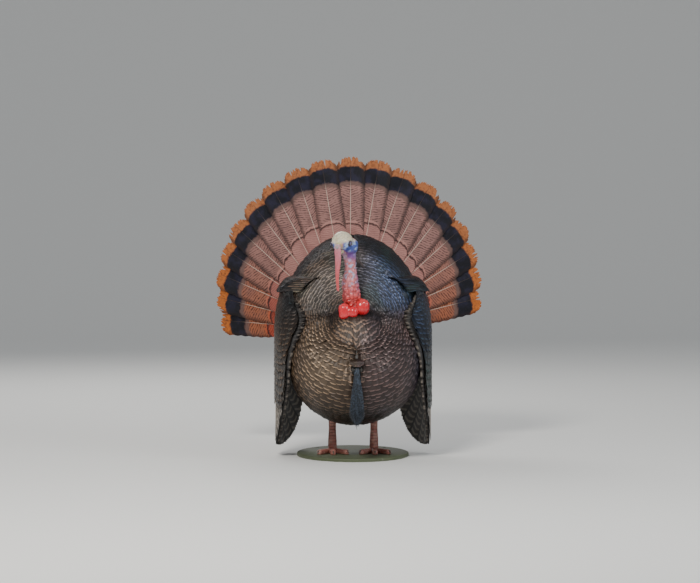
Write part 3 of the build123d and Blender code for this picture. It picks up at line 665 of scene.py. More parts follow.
def contour_feathers(surface, material):
    """The body's plumage, in four pieces."""
    polar, turn = feather_roots(surface)
    degrees = np.degrees(polar)
    root, _ = surface.at(polar, turn)
    growth = smoothstep(12, 75, degrees)
    rear_growth = smoothstep(80, 140, degrees)
    length = (0.023 + 0.019 * growth + 0.016 * rear_growth) * rng.uniform(0.9, 1.1, len(polar))
    half_width = 0.45 * (0.017 + 0.011 * growth + 0.006 * rear_growth)
    half_width = half_width * rng.uniform(0.92, 1.1, len(polar))
    under_wing = smoothstep(0.125, 0.15, np.abs(root[:, 0])) * smoothstep(-0.20, -0.15, root[:, 1])
    under_wing = under_wing * smoothstep(0.43, 0.40, root[:, 2])
    tip_lift = (0.0052 + rng.normal(0, 0.0007, len(polar))) * (1 - 0.5 * under_wing)
    base_lift = np.full(len(polar), 0.0004)
    sway = rng.normal(0, 0.045, len(polar))
    colours = body_tint(root, polar) * rng.uniform(0.78, 1.22, (len(polar), 1))
    left, front = root[:, 0] < 0, degrees < 62
    for name, chosen in (
        ("plumage_breast_left", left & front),
        ("plumage_breast_right", ~left & front),
        ("plumage_back_left", left & ~front),
        ("plumage_back_right", ~left & ~front),
    ):
        pick = [data[chosen] for data in (polar, turn, length, half_width, base_lift, tip_lift, sway)]
        points, faces, values, each = lay_feathers(surface, *pick)
        tints = np.repeat(colours[chosen], each, axis=0)
        new_object(name, points, faces, material, "root", values, tints)


def skin_material():
    # Down under the feathers, painted nearly black as shade in the gaps between them
    return grained_material(
        "down_skin_and_shade", (0.006, 0.005, 0.005), (0.022, 0.017, 0.015), (160.0, 4.0),
        pits=(700.0, 3.0, 0.5, 0.001), Roughness=0.85,
    )


# ------------------------------------------------------------------ neck ruff
def neck_ruff(surface, under, over):
    """Short feathers in rings that bridge the gap between the neck's seat and the body's skin, on a skirt."""
    turns, rings = 72, 9
    top_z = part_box("neck_socket")[1][2] - 0.0008
    inner, outer = 0.0245, 0.064
    skin = surface.tree(2, 100)
    angle = ring_of(turns)
    landing = []
    for a in angle:
        start = Vector((NECK[0] + outer * math.cos(a), NECK[1] + outer * math.sin(a), 0.7))
        hit = skin.ray_cast(start, Vector((0, 0, -1)))
        landing.append(hit[0].z if hit[0] is not None else 0.30)
    landing = np.array(landing)
    landing = (landing + np.roll(landing, 1) + np.roll(landing, -1)) / 3
    whole_turn, whole_landing = np.append(angle, 2 * math.pi), np.append(landing, landing[0])

    def skirt(a, share, lift):
        """Points of the skirt at an angle round the neck and a share of the way out."""
        z_out = np.interp(np.mod(a, 2 * math.pi), whole_turn, whole_landing)
        radius = inner + (outer - inner) * share + 0.35 * lift
        fall = (z_out - top_z) * np.clip(share, 0, None) ** 1.5
        z = top_z + fall + 0.005 * np.sin(math.pi * np.clip(share, 0, 1)) + 0.9 * lift
        return np.stack([NECK[0] + radius * np.cos(a), NECK[1] + radius * np.sin(a), z], axis=-1)

    share = np.linspace(0, 1.05, rings)[:, None] * np.ones(turns)
    points = skirt(angle[None, :] * np.ones((rings, 1)), share, -0.0012)
    faces = grid_faces(rings, turns, closed=True)
    # The skirt is painted near black as shade beneath the ruff's feathers
    new_object("ruff_skin", points, faces, under, "root")

    starts, places = [], []
    for ring, start in enumerate(np.linspace(0.0, 0.80, 7)):
        count = int(34 + 26 * start)
        order = np.arange(count) + 0.5 * (ring % 2) + rng.uniform(-0.2, 0.2, count)
        places.append(order * 2 * math.pi / count)
        starts.append(np.full(count, start) + rng.uniform(-0.02, 0.02, count))
    start, place = np.concatenate(starts), np.concatenate(places)
    rows, columns, count = 7, 5, len(start)
    along, across = card_grid(rows, columns)
    length, half_width = 0.55, 0.0065
    varied = deep(rng.uniform(0.9, 1.1, count))
    run = np.clip(deep(start) + length * along * varied, 0, 1.45)
    reach = inner + (outer - inner) * run
    turn = deep(place) + feather_outline(along) * half_width * across / reach
    points = skirt(turn, run * np.ones_like(across), card_lift(along, across, 0.0005, 0.0042, 0.0006))
    grid = (count, rows, columns)
    values = card_values(grid, along, along * length * (outer - inner), half_width * across)
    root = skirt(place, start, np.zeros(count))
    # Bronze to one side and mauve to the other are split by side as painted light, bronze for the lit side
    side = smoothstep(-0.01, 0.03, root[:, 0])
    tints = mix(mix(BRONZE, MAUVE, side), NIGHT, 0.10 + 0.6 * smoothstep(-0.18, -0.14, root[:, 1]))
    tints = np.repeat(tints * rng.uniform(0.8, 1.2, (count, 1)), rows * columns, axis=0)
    new_object("ruff_plumage", points, many_grids(*grid), over, "root", values, tints)


# ------------------------------------------------------------------ wings
class WingSurface:
    """The outer face of a CAD wing as x at each y and z, and the fan of lines its feathers follow."""

    STEP = 0.003

    def __init__(self, side_name):
        self.name, self.node = side_name, "wing_" + side_name
        self.side = -1 if side_name == "left" else 1
        low, high = corners_of(self.node)
        tree = tree_of(self.node)
        self.y = np.arange(low[1] + 0.001, high[1], self.STEP)
        self.z = np.arange(low[2] + 0.001, NECK[2] + 0.052, self.STEP)
        shape = (len(self.y), len(self.z))
        self.outer, self.inner = np.full(shape, np.nan), np.full(shape, np.nan)
        for i, y in enumerate(self.y):
            for k, z in enumerate(self.z):
                hit = tree.ray_cast(Vector((0.6 * self.side, y, z)), Vector((-self.side, 0, 0)))
                back = tree.ray_cast(Vector((0.0, y, z)), Vector((self.side, 0, 0)))
                if hit[0] is not None and back[0] is not None:
                    self.outer[i, k] = abs(hit[0].x)
                    self.inner[i, k] = abs(back[0].x)
        self.inside = ~np.isnan(self.outer)
        self.outer = self.spread(self.outer)
        self.shoulder = np.array([self.y[0] + 0.045, self.z[-1] + 0.004])

    def spread(self, table):
        """Fills what lies past the outline from its nearest neighbours inside."""
        table = table.copy()
        for _ in range(26):
            empty = np.isnan(table)
            if not empty.any():
                break
            padded = np.pad(table, 1, constant_values=np.nan)
            around = np.stack([padded[:-2, 1:-1], padded[2:, 1:-1], padded[1:-1, :-2], padded[1:-1, 2:]])
            known = ~np.isnan(around)
            total = np.where(known, around, 0).sum(axis=0)
            mean = total / np.maximum(known.sum(axis=0), 1)
            table[empty & known.any(axis=0)] = mean[empty & known.any(axis=0)]
        return np.where(np.isnan(table), np.nanmean(table), table)

    def read(self, table, y, z):
        row = np.clip((y - self.y[0]) / self.STEP, 0, len(self.y) - 1.001)
        column = np.clip((z - self.z[0]) / self.STEP, 0, len(self.z) - 1.001)
        r, c = row.astype(int), column.astype(int)
        fr, fc = row - r, column - c
        top = table[r, c] * (1 - fc) + table[r, c + 1] * fc
        low = table[r + 1, c] * (1 - fc) + table[r + 1, c + 1] * fc
        return top * (1 - fr) + low * fr

    def points(self, y, z, lift):
        x = self.read(self.outer, y, z)
        slope_y = (self.read(self.outer, y + 0.004, z) - self.read(self.outer, y - 0.004, z)) / 0.008
        slope_z = (self.read(self.outer, y, z + 0.004) - self.read(self.outer, y, z - 0.004)) / 0.008
        size = np.sqrt(1 + slope_y**2 + slope_z**2)
        x, y, z = x + lift / size, y - lift * slope_y / size, z - lift * slope_z / size
        return np.stack([self.side * x, y, z], axis=-1)

    def fan(self, angle, reach):
        """y and z at a reach from the shoulder. Angle 0 is straight down, and grows backwards."""
        return self.shoulder[0] + reach * np.sin(angle), self.shoulder[1] - reach * np.cos(angle)

    def edge(self, angle):
        """How far the wing goes along a line from the shoulder."""
        reach = np.arange(0.02, 0.52, 0.002)
        y, z = self.fan(angle, reach)
        inside = self.read(self.inside.astype(float), y, z) > 0.5
        inside &= (y > self.y[0]) & (y < self.y[-1]) & (z > self.z[0]) & (z < self.z[-1])
        return reach[inside].max() if inside.any() else 0.0


def wing_cards(wing, angle, start, length, half_width, base_lift, tip_lift, rows, columns, blunt):
    """Feather cards on the wing along its fan of lines, with one value per feather in each argument."""
    count = len(angle)
    share, across = card_grid(rows, columns)
    reach = deep(start) + deep(length) * share * np.ones_like(across)
    width = feather_outline(share, blunt) * deep(half_width) * across
    y, z = wing.fan(deep(angle), reach)
    y = y + width * deep(np.cos(angle))
    z = z + width * deep(np.sin(angle))
    lift = card_lift(share, across, deep(base_lift), deep(tip_lift - base_lift), 0.0011)
    values = card_values((count, rows, columns), share, deep(length) * share, width)
    return wing.points(y, z, lift), many_grids(count, rows, columns), values, rows * columns


def wing_coverts(wing, material):
    """Small and middle coverts in arcs round the shoulder, and the row of great coverts below them."""
    angles, starts, lengths, widths = [], [], [], []
    reach, odd = 0.0, 0.0
    low_angle, high_angle = math.radians(-62), math.radians(104)
    while reach < 0.235:
        growth = float(smoothstep(0.0, 0.22, np.array(reach)))
        length = 0.026 + 0.040 * growth
        spacing = 0.011 + 0.007 * growth
        arc = (high_angle - low_angle) * max(reach + 0.5 * length, 0.02)
        count = max(5, int(arc / spacing))
        order = np.arange(count) + odd + rng.uniform(-0.2, 0.2, count)
        angle = low_angle + order * (high_angle - low_angle) / count
        reaches = np.array([wing.edge(a) for a in angle])
        keep = reaches > reach + 0.45 * length
        kept = keep.sum()
        angles.append(angle[keep])
        starts.append(np.full(kept, reach) + rng.uniform(-0.002, 0.002, kept))
        lengths.append(np.minimum(np.full(kept, length), reaches[keep] - reach + 0.004))
        widths.append(np.full(kept, 0.60 * spacing))
        reach += 0.0085 + 0.0085 * growth
        odd = 0.5 - odd
    angle, start, length, half_width = (np.concatenate(data) for data in (angles, starts, lengths, widths))
    count = len(angle)
    lift = np.full(count, 0.0006)
    tip_lift = lift + 0.0036 + rng.normal(0, 0.0003, count)
    cards = wing_cards(wing, angle, start, length, half_width, lift, tip_lift, 8, 7, 0.45)
    points, faces, values, each = cards
    y = wing.fan(angle, start)[0]
    # The two wings differ by side as painted light, like the body: bronze on the lit side, blue for a painted
    # sky reflection
    if wing.side > 0:
        tints = mix(STEEL_BLUE, NIGHT, smoothstep(0.02, 0.20, start))
        tints = mix(tints, GREEN, 0.6 * smoothstep(0.10, 0.16, start) * smoothstep(0.26, 0.20, start))
    else:
        tints = mix(NIGHT, BRONZE, 0.75 * smoothstep(0.0, 0.10, start))
        tints = mix(tints, NIGHT, 0.5 * smoothstep(0.17, 0.24, start))
    tints = mix(tints, BRONZE, 0.55 * smoothstep(-0.02, 0.10, y) * smoothstep(0.06, 0.16, start))
    tints = np.repeat(tints * rng.uniform(0.75, 1.25, (count, 1)), each, axis=0)
    new_object("wing_coverts_" + wing.name, points, faces, material, wing.node, values, tints)


QUILL_COUNT = 22


def wing_quills(wing, material):
    """The long flight feathers: barred primaries in front and below, plainer secondaries behind."""
    order = np.arange(QUILL_COUNT)
    angle = np.radians(np.linspace(-8, 84, QUILL_COUNT))
    start = 0.125 + 0.02 * smoothstep(0, QUILL_COUNT, order)
    reaches = np.array([wing.edge(a) for a in angle])
    length = reaches - start + 0.003 * np.cos(order * 2.1) - 0.002
    keep = length > 0.05
    angle, start, length, order = angle[keep], start[keep], length[keep], order[keep]
    half_width = 0.0155 + 0.004 * smoothstep(0, 14, order) * np.ones(len(order))
    stack = 0.0009 * (order % 2)
    base_lift = np.full(len(angle), -0.0010)
    cards = wing_cards(wing, angle, start, length, half_width, base_lift, 0.0005 + stack, 56, 13, 0.10)
    points, faces, values, each = cards
    values["kind"] = np.repeat(smoothstep(9, 14, order), each)
    values["from_tip"] = (1 - values["share"]) * np.repeat(length, each)
    name = "wing_quills_" + wing.name
    new_object(name, points, faces, material, wing.node, values)

    # Shafts stand proud of the vanes
    rows, sides, count = 40, 5, len(angle)
    share = np.linspace(0.0, 0.97, rows)[None, :, None]
    ring = ring_of(sides)[None, None, :]
    taper = 1 - 0.75 * share
    reach = deep(start) + deep(length) * share * np.ones_like(ring)
    y, z = wing.fan(deep(angle), reach)
    aside = 0.0013 * taper * np.cos(ring)
    y = y + aside * deep(np.cos(angle))
    z = z + aside * deep(np.sin(angle))
    lift = -0.0010 + (0.0015 + deep(stack)) * share + 0.0010 * taper * np.sin(ring)
    faces = many_grids(count, rows, sides, closed=True)
    new_object(name + "_shafts", wing.points(y, z, lift), faces, shaft_material(), wing.node)


def shaft_material():
    return grained_material(
        "quill_shaft", (0.26, 0.19, 0.13), (0.50, 0.42, 0.32), (90.0, 3.0), pits=(1400.0, 2.0, 0.2, 0.0003),
        Roughness=0.4,
    )


def quill_material():
    """Flight feathers: white bars on slate near the leading edge, fading to brown with pale edges behind."""
    nodes = Nodes("wing_quills")
    along, across = nodes.value("along"), nodes.value("across")
    kind, tip = nodes.value("kind"), nodes.value("from_tip")
    slant = nodes.times(nodes.size_of(across), 0.9)
    phase = nodes.plus(nodes.minus(along, slant), nodes.wobble(45.0, 3.0, 0.012))
    wave = nodes.wave(phase, 0.0155)
    white = nodes.times(nodes.ramp(wave, 0.05, 0.5), nodes.patches(160.0, 3.0, 0.25, 0.45))
    slate = nodes.blend((0.022, 0.019, 0.019), (0.045, 0.036, 0.031), nodes.noise(60.0, 3.0))
    primary = nodes.blend(slate, (0.32, 0.285, 0.245), nodes.times(white, nodes.ramp(along, 0.06, 0.16)))
    brown = nodes.blend((0.085, 0.058, 0.045), (0.15, 0.105, 0.08), nodes.noise(50.0, 4.0))
    secondary = nodes.blend(brown, (0.30, 0.24, 0.19), nodes.times(white, 0.35))
    edge = nodes.ramp(nodes.size_of(across), 0.0125, 0.0165)
    secondary = nodes.blend(secondary, (0.40, 0.34, 0.28), nodes.times(edge, 0.6))
    colour = nodes.blend(primary, secondary, kind)
    colour = nodes.blend((0.03, 0.025, 0.022), colour, nodes.ramp(tip, 0.0, 0.012))
    nodes.bump(barb_height(nodes, along, across, 0.0013), 0.4, 0.0005)
    return nodes.finish(colour, Metallic=0.0, Roughness=0.48)


def wing_skin(wing, material):
    """The wing's body between its feathers, barred on the inside like the undersides of its quills."""
    rows, columns = len(wing.y), len(wing.z)
    y = wing.y[:, None] * np.ones(columns)
    z = wing.z[None, :] * np.ones((rows, 1))
    outer = wing.points(y, z, np.full(y.shape, -0.0022)).reshape(-1, 3)
    inner = np.stack([wing.side * (wing.inner + 0.0004), y, z], axis=-1).reshape(-1, 3)
    number = np.arange(rows * columns).reshape(rows, columns)
    cell = wing.inside[:-1, :-1] & wing.inside[1:, :-1] & wing.inside[:-1, 1:] & wing.inside[1:, 1:]
    r, c = np.nonzero(cell)
    quads = np.stack([number[r, c], number[r, c + 1], number[r + 1, c + 1], number[r + 1, c]], axis=-1)
    shift = rows * columns
    faces = [quads, quads[:, ::-1] + shift]
    # The rim joins the two faces wherever a cell has no neighbour
    padded = np.pad(cell, 1)
    sides = (
        ((-1, 0), (0, 0), (0, 1)),
        ((1, 0), (1, 1), (1, 0)),
        ((0, -1), (1, 0), (0, 0)),
        ((0, 1), (0, 1), (1, 1)),
    )
    for (dr, dc), first, second in sides:
        neighbour = padded[1 + dr : padded.shape[0] - 1 + dr, 1 + dc : padded.shape[1] - 1 + dc]
        alone = cell & ~neighbour
        r, c = np.nonzero(alone)
        a, b = number[r + first[0], c + first[1]], number[r + second[0], c + second[1]]
        faces.append(np.stack([a, a + shift, b + shift, b], axis=-1))
    points = np.nan_to_num(np.concatenate([outer, inner]), nan=0.17)
    faces = np.concatenate(faces)
    used, faces = np.unique(faces, return_inverse=True)
    faces = faces.reshape(-1, 4)
    points = points[used]
    from_shoulder = points[:, 1:] - wing.shoulder
    values = {
        "along": np.linalg.norm(from_shoulder, axis=1),
        "angle": np.arctan2(from_shoulder[:, 0], -from_shoulder[:, 1]),
        "outside": (used < shift).astype(float),
    }
    piece = new_object("wing_skin_" + wing.name, points, faces, material, wing.node, values)
    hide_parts(wing.node)


def wing_skin_material():
    nodes = Nodes("wing_lining")
    along, angle = nodes.value("along"), nodes.value("angle")
    vanes = nodes.wave(angle, math.radians(4.8))
    ripple = nodes.times(nodes.noise(40.0, 3.0), 0.012)
    bars = nodes.plus(nodes.plus(along, ripple), nodes.times(vanes, 0.003))
    bars = nodes.ramp(nodes.wave(bars, 0.016), 0.0, 0.6)
    colour = nodes.blend((0.045, 0.038, 0.035), (0.22, 0.19, 0.16), nodes.times(bars, 0.75))
    colour = nodes.blend(colour, (0.018, 0.015, 0.014), nodes.ramp(vanes, 0.75, 0.97))
    # Painted shade: the outer face, under the coverts and quills, is near black
    colour = nodes.blend(colour, (0.012, 0.010, 0.010), nodes.ramp(nodes.value("outside"), 0.3, 0.7))
    nodes.bump(vanes, 0.5, 0.0015)
    return nodes.finish(colour, Roughness=0.6)


LEAST_ROOF_REACH = 0.1865  # from the middle line, past the wing hinge's lugs


def scapulars(surface, wing, under, over):
    """Shoulder feathers that roof the wing's hinge, from the body's side out over the wing's top edge."""
    side = wing.side
    front, rear, stations = -0.074, 0.094, 50
    roof_y = np.linspace(front, rear, stations)
    skin = surface.tree(2, surface.POLAR)
    top, eave = NECK[2] + 0.090, NECK[2] + 0.0500

    def side_of_body(height):
        hits = [skin.ray_cast(Vector((0.5 * side, y, height)), Vector((-side, 0, 0)))[0] for y in roof_y]
        return np.array([abs(hit.x) for hit in hits])

    wall, foot = side_of_body(top), side_of_body(eave) + 0.003
    ends = smoothstep(front, -0.040, roof_y) * smoothstep(rear, 0.066, roof_y)
    over_wing = wing.read(wing.outer, roof_y, np.full(roof_y.shape, eave - 0.004)).max() + 0.007
    edge = foot + (max(over_wing, LEAST_ROOF_REACH) - foot) * ends

    def roof(y, share, lift):
        """A rounded fall from the wall to the eave, lifted outwards."""
        x0, x2 = np.interp(y, roof_y, wall) - 0.001, np.interp(y, roof_y, edge)
        share = np.clip(share, 0, 1.03)
        x1, z1 = 0.35 * x0 + 0.65 * x2 + 0.002, top - 0.006
        x = (1 - share) ** 2 * x0 + 2 * share * (1 - share) * x1 + share**2 * x2
        z = (1 - share) ** 2 * top + 2 * share * (1 - share) * z1 + share**2 * eave
        return np.stack([side * (x + 0.75 * lift), y, z + 0.5 * lift], axis=-1)

    rows = 10
    share = np.linspace(0, 0.78, rows)[:, None] * np.ones(stations)
    points = roof(roof_y[None, :] * np.ones((rows, 1)), share, np.full(share.shape, -0.0016))
    faces = grid_faces(rows, stations)
    # The roof's skin is painted near black as shade beneath the scapulars
    new_object("scapular_skin_" + wing.name, points, faces, under, "root")

    starts, places = [], []
    for row, start in enumerate(np.linspace(-0.02, 0.60, 7)):
        count = 14
        place = np.linspace(-0.076, 0.088, count) + 0.0060 * (row % 2)
        places.append(place + rng.uniform(-0.002, 0.002, count))
        starts.append(np.full(count, start) + rng.uniform(-0.02, 0.02, count))
    start, place = np.concatenate(starts), np.concatenate(places)
    count, rows, columns = len(start), 9, 7
    along, across = card_grid(rows, columns)
    reach = deep(rng.uniform(0.40, 0.48, count))
    width = feather_outline(along) * 0.0095 * across
    slope = deep(rng.normal(0.10, 0.05, count))
    y = deep(place) + width + slope * along * 0.03
    share = deep(start) + reach * along * np.ones_like(across)
    points = roof(y, share, card_lift(along, across, 0.0004, 0.0042, 0.0012))
    grid = (count, rows, columns)
    values = card_values(grid, along, along * 0.035, width)
    root = roof(place, start, np.zeros(count))
    tints = body_tint(root, surface.angles(root)[0]) * rng.uniform(0.75, 1.25, (count, 1))
    tints = np.repeat(tints, rows * columns, axis=0)
    faces = many_grids(*grid)
    new_object("scapulars_" + wing.name, points, faces, over, "root", values, tints)


def clip_feathers(surface, over):
    """Breast feathers in three rows over the beard's clip, short of where the beard swings."""
    low, high = corners_of("beard_clip")
    places = np.array([-0.0105, -0.0036, 0.0036, 0.0105, -0.0072, 0.0, 0.0072, -0.0036, 0.0036])
    rows_down = np.array([0, 0, 0, 0, 1, 1, 1, 2, 2])
    drops = 0.0025 * rows_down
    count, rows, columns = len(places), 10, 7
    along, across = card_grid(rows, columns)
    width = feather_outline(along) * 0.0064 * across
    x = deep(places) * (1 + 0.12 * along) + width
    length = 0.018 + 0.001 * np.cos(9 * deep(places))
    z = high[2] + 0.021 - deep(drops) - along * length
    skin = body_front(surface, high[2] + 0.016)
    y = skin + (low[1] - 0.0030 - skin) * smoothstep(0.0, 0.65, along)
    y = y + 0.0010 * across**2 - 0.0008 * deep(rows_down)
    points = np.stack(np.broadcast_arrays(x, y, z * np.ones_like(across)), axis=-1)
    grid = (count, rows, columns)
    values = card_values(grid, along, along * 0.030, width)
    # Bronze to one side and mauve to the other are split by side as painted light, bronze for the lit side
    tints = mix(mix(BRONZE, MAUVE, smoothstep(-0.005, 0.005, places)), NIGHT, np.full(count, 0.10))
    tints = np.repeat(tints, rows * columns, axis=0)
    new_object("clip_feathers", points, many_grids(*grid), over, "root", values, tints)


def body_front(surface, height):
    """y of the breast's skin on the middle line at a height."""
    first, opposite = surface.points[:, 0], surface.points[:, 180]
    column = opposite if opposite[90, 2] < first[90, 2] else first
    column = column[(column[:, 1] < 0) & (column[:, 2] < NECK[2])]
    return float(column[np.abs(column[:, 2] - height).argmin(), 1])


# ------------------------------------------------------------------ head, snood and wattles
def voxel_copy(node, voxel, rounds):
    """Points, outward normals and faces of a CAD node, remeshed evenly and smoothed."""
    scratch = bpy.data.objects.new("scratch", frame["nodes"][node].data.copy())
    bpy.context.scene.collection.objects.link(scratch)
    remesh = scratch.modifiers.new("even", "REMESH")
    remesh.mode = "VOXEL"
    remesh.voxel_size = voxel
    smooth = scratch.modifiers.new("soften", "SMOOTH")
    smooth.factor = 0.5
    smooth.iterations = rounds
    graph = bpy.context.evaluated_depsgraph_get()
    mesh = bpy.data.meshes.new_from_object(scratch.evaluated_get(graph))
    points = np.array([vertex.co[:] for vertex in mesh.vertices])
    normals = np.array([vertex.normal[:] for vertex in mesh.vertices])
    faces = [face.vertices[:] for face in mesh.polygons]
    bpy.data.objects.remove(scratch)
    return points, normals, faces


def cells(points, scale, stretch=(1.0, 1.0, 1.0)):
    """Distance to the nearest and the second nearest of scattered cell middles, in cells."""
    near = [noise.voronoi(Vector(p) * scale)[0][:2] for p in points * np.array(stretch)]
    return np.array(near)


def clouds(points, scale, octaves=3):
    return np.array([noise.fractal(Vector(p) * scale, 0.8, 2.0, octaves) for p in points])


def ball(points, middle, radius, soft):
    """1 inside a ball, falling to 0 over a soft border."""
    return smoothstep(radius + soft, radius - soft, np.linalg.norm(points - np.asarray(middle), axis=1))


WHITE_SKIN = (0.78, 0.70, 0.50)
PINK_SKIN = (0.66, 0.22, 0.24)
CORAL = (0.66, 0.050, 0.045)
WATTLE_RED = (0.64, 0.006, 0.016)
BLUE_SKIN = (0.055, 0.10, 0.42)
PALE_BLUE = (0.42, 0.56, 0.82)
VIOLET = (0.20, 0.055, 0.26)
OLIVE = (0.42, 0.42, 0.13)


def eye_middles():
    """The middle of each eye, and the way that each looks out of the head."""
    points = points_of("eyes")
    split = points[:, 0] > points[:, 0].mean()
    return points[~split].mean(axis=0), points[split].mean(axis=0)


def head_skin(material):
    """Head and neck: warty crown, smooth cheeks, and caruncles that grow towards the throat."""
    points, normals, faces = voxel_copy("head_neck", 0.0015, 6)
    z = points[:, 2]
    right_eye, left_eye = eye_middles()
    crown = (right_eye + left_eye) / 2 + np.array([0.003, 0.008, 0.004])
    aside = normalise(left_eye - right_eye)
    forward = np.cross([0.0, 0.0, 1.0], aside)
    forward = forward if forward[1] < 0 else -forward
    fore, side = (points - crown) @ forward, np.abs((points - crown) @ aside)
    up, rise_up = z - crown[2], z - NECK[2]
    head = smoothstep(0.125, 0.145, rise_up)
    throat = smoothstep(0.11, 0.02, rise_up)

    # Warts, creases, the narrow neck under the jaw, brows, eye sockets and ears
    bumps = cells(points, 105.0, (1.0, 1.0, 0.8))
    fine = cells(points, 260.0)
    lump = np.clip(1 - (bumps[:, 0] / 0.62) ** 2, 0, 1)
    crease = smoothstep(0.0, 0.22, bumps[:, 1] - bumps[:, 0])
    wart = np.clip(1 - (fine[:, 0] / 0.6) ** 2, 0, 1)
    seat = smoothstep(0.001, 0.008, rise_up)
    rise = throat * (0.0034 * lump - 0.0022 * (1 - crease))
    rise += (1 - throat) * (1 - head) * (0.0013 * lump - 0.0009 * (1 - crease))
    rise += 0.0008 * wart * (1 - 0.4 * head)
    crown_warts = head * smoothstep(-0.004, 0.010, up)
    rise += 0.0007 * crown_warts * lump
    narrow = hump((rise_up - 0.120) / 0.030) * 0.0035
    brow = hump((up + 0.001) / 0.004) * smoothstep(0.012, 0.022, side) * 0.0018 * head
    socket = 0.0030 * (ball(points, right_eye, 0.0078, 0.003) + ball(points, left_eye, 0.0078, 0.003))
    ear_middle = crown - 0.017 * forward + 0.022 * aside - np.array([0, 0, 0.010])
    ear = 0.002 * ball(points, ear_middle, 0.004, 0.0015)
    points = points + normals * (seat * (rise - narrow + brow - socket - ear))[:, None]

    # Colours, from the neck up
    haze = clouds(points, 60.0)
    patch = clouds(points + 3.1, 95.0)
    colour = mix(CORAL, PINK_SKIN, smoothstep(0.03, 0.10, rise_up + 0.012 * haze))
    colour = mix(colour, WATTLE_RED, 0.6 * smoothstep(0.05, 0.0, rise_up))
    blue_patch = smoothstep(0.10, 0.42, patch) * smoothstep(0.035, 0.11, rise_up) * (1 - head)
    colour = mix(colour, PALE_BLUE, 0.85 * blue_patch)
    violet_side = smoothstep(-0.004, 0.012, points[:, 0] + 0.004 * haze) * smoothstep(0.04, 0.10, rise_up)
    colour = mix(colour, VIOLET, 0.70 * violet_side * (1 - head))
    cheek = head * smoothstep(0.004, 0.012, side + 0.004 * haze)
    blue = mix(BLUE_SKIN, PALE_BLUE, smoothstep(0.0, 0.5, patch))
    blue = mix(blue, VIOLET, 0.8 * smoothstep(-0.016, -0.030, up + 0.006 * haze))
    colour = mix(colour, blue, cheek)
    front = head * smoothstep(0.010, 0.003, side) * smoothstep(0.0, -0.02, up)
    colour = mix(colour, (0.50, 0.45, 0.62), 0.7 * front)
    white = head * smoothstep(-0.007, 0.004, up + 0.35 * (0.012 - side) + 0.004 * haze)
    colour = mix(colour, WHITE_SKIN, white)
    nape_pink = white * smoothstep(-0.010, -0.026, fore)
    colour = mix(colour, (0.62, 0.22, 0.30), 0.85 * nape_pink)
    spot = ball(points, crown + 0.026 * forward - np.array([0, 0, 0.011]), 0.010, 0.005)
    colour = mix(colour, OLIVE, 0.75 * spot)
    rim = ball(points, right_eye, 0.0085, 0.002) + ball(points, left_eye, 0.0085, 0.002)
    colour = mix(colour, (0.03, 0.025, 0.06), 0.9 * np.clip(rim, 0, 1))
    # Painted shade: darker in the creases between the lumps, most on the throat, and between the small warts
    # below the head
    hollow = (1 - crease) * (0.35 + 0.4 * throat) + 0.25 * (1 - wart) * (1 - head)
    colour = colour * (1 - 0.60 * np.clip(hollow, 0, 1)[:, None])
    # Painted shade in the fine creases between the crown's warts
    wart_crease_shade = smoothstep(0.50, 0.36, fine[:, 1] - fine[:, 0] + 0.25 * clouds(points, 300.0)) * crown_warts
    colour = colour * (1 - 0.18 * wart_crease_shade[:, None])
    piece = new_object("head_skin", points, faces, material, "head", colours=colour)
    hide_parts("head_neck")
    scatter_bristles(points, normals, head * (1 - white))


BRISTLE_COUNT = 170


def scatter_bristles(points, normals, weight):
    """Sparse dark hairs on the face and the back of the neck."""
    nape = smoothstep(-0.005, 0.02, points[:, 1] - NECK[1]) * smoothstep(0.44, 0.47, points[:, 2])
    chance = weight + 0.35 * nape
    picked = rng.choice(len(points), BRISTLE_COUNT, replace=False, p=chance / chance.sum())
    swept = normals[picked] + np.array([0, 0.2, 0.1]) + rng.normal(0, 0.15, (BRISTLE_COUNT, 3))
    roots, ways = points[picked], normalise(swept)
    aside = normalise(np.cross(ways, [0.3, 0.2, 1.0]))
    other = np.cross(ways, aside)
    verts, faces = [], []
    for root, way, a, b in zip(roots, ways, aside, other):
        first, reach = len(verts), rng.uniform(0.002, 0.0045)
        for turn in range(3):
            angle = 2 * math.pi * turn / 3
            verts.append(root + 0.00022 * (math.cos(angle) * a + math.sin(angle) * b))
        verts.append(root + way * reach)
        tip = first + 3
        faces += [(first, first + 1, tip), (first + 1, first + 2, tip), (first + 2, first, tip)]
    new_object("head_bristles", verts, faces, bristle_material(), "head")


def bristle_material():
    dark, light = (0.006, 0.005, 0.006), (0.02, 0.016, 0.02)
    return grained_material("face_bristles", dark, light, (500.0, 2.0), Roughness=0.5)


def flesh_material(name, roughness, coat, pore_scale, pore_depth):
    """Moist skin over the painted tint, with small pores and blotches."""
    nodes = Nodes(name)
    tint = nodes.colour("tint")
    blotch = nodes.patches(170.0, 4.0, 0.35, 0.75)
    dark = nodes.blend(tint, BLACK, 0.24)
    colour = nodes.blend(tint, dark, blotch)
    nodes.bump(nodes.noise(pore_scale, 3.0), 0.35, pore_depth)
    return nodes.finish(
        colour, Roughness=roughness, Coat_Weight=coat, Coat_Roughness=0.12, Subsurface_Weight=0.12,
        Subsurface_Scale=0.004,
    )


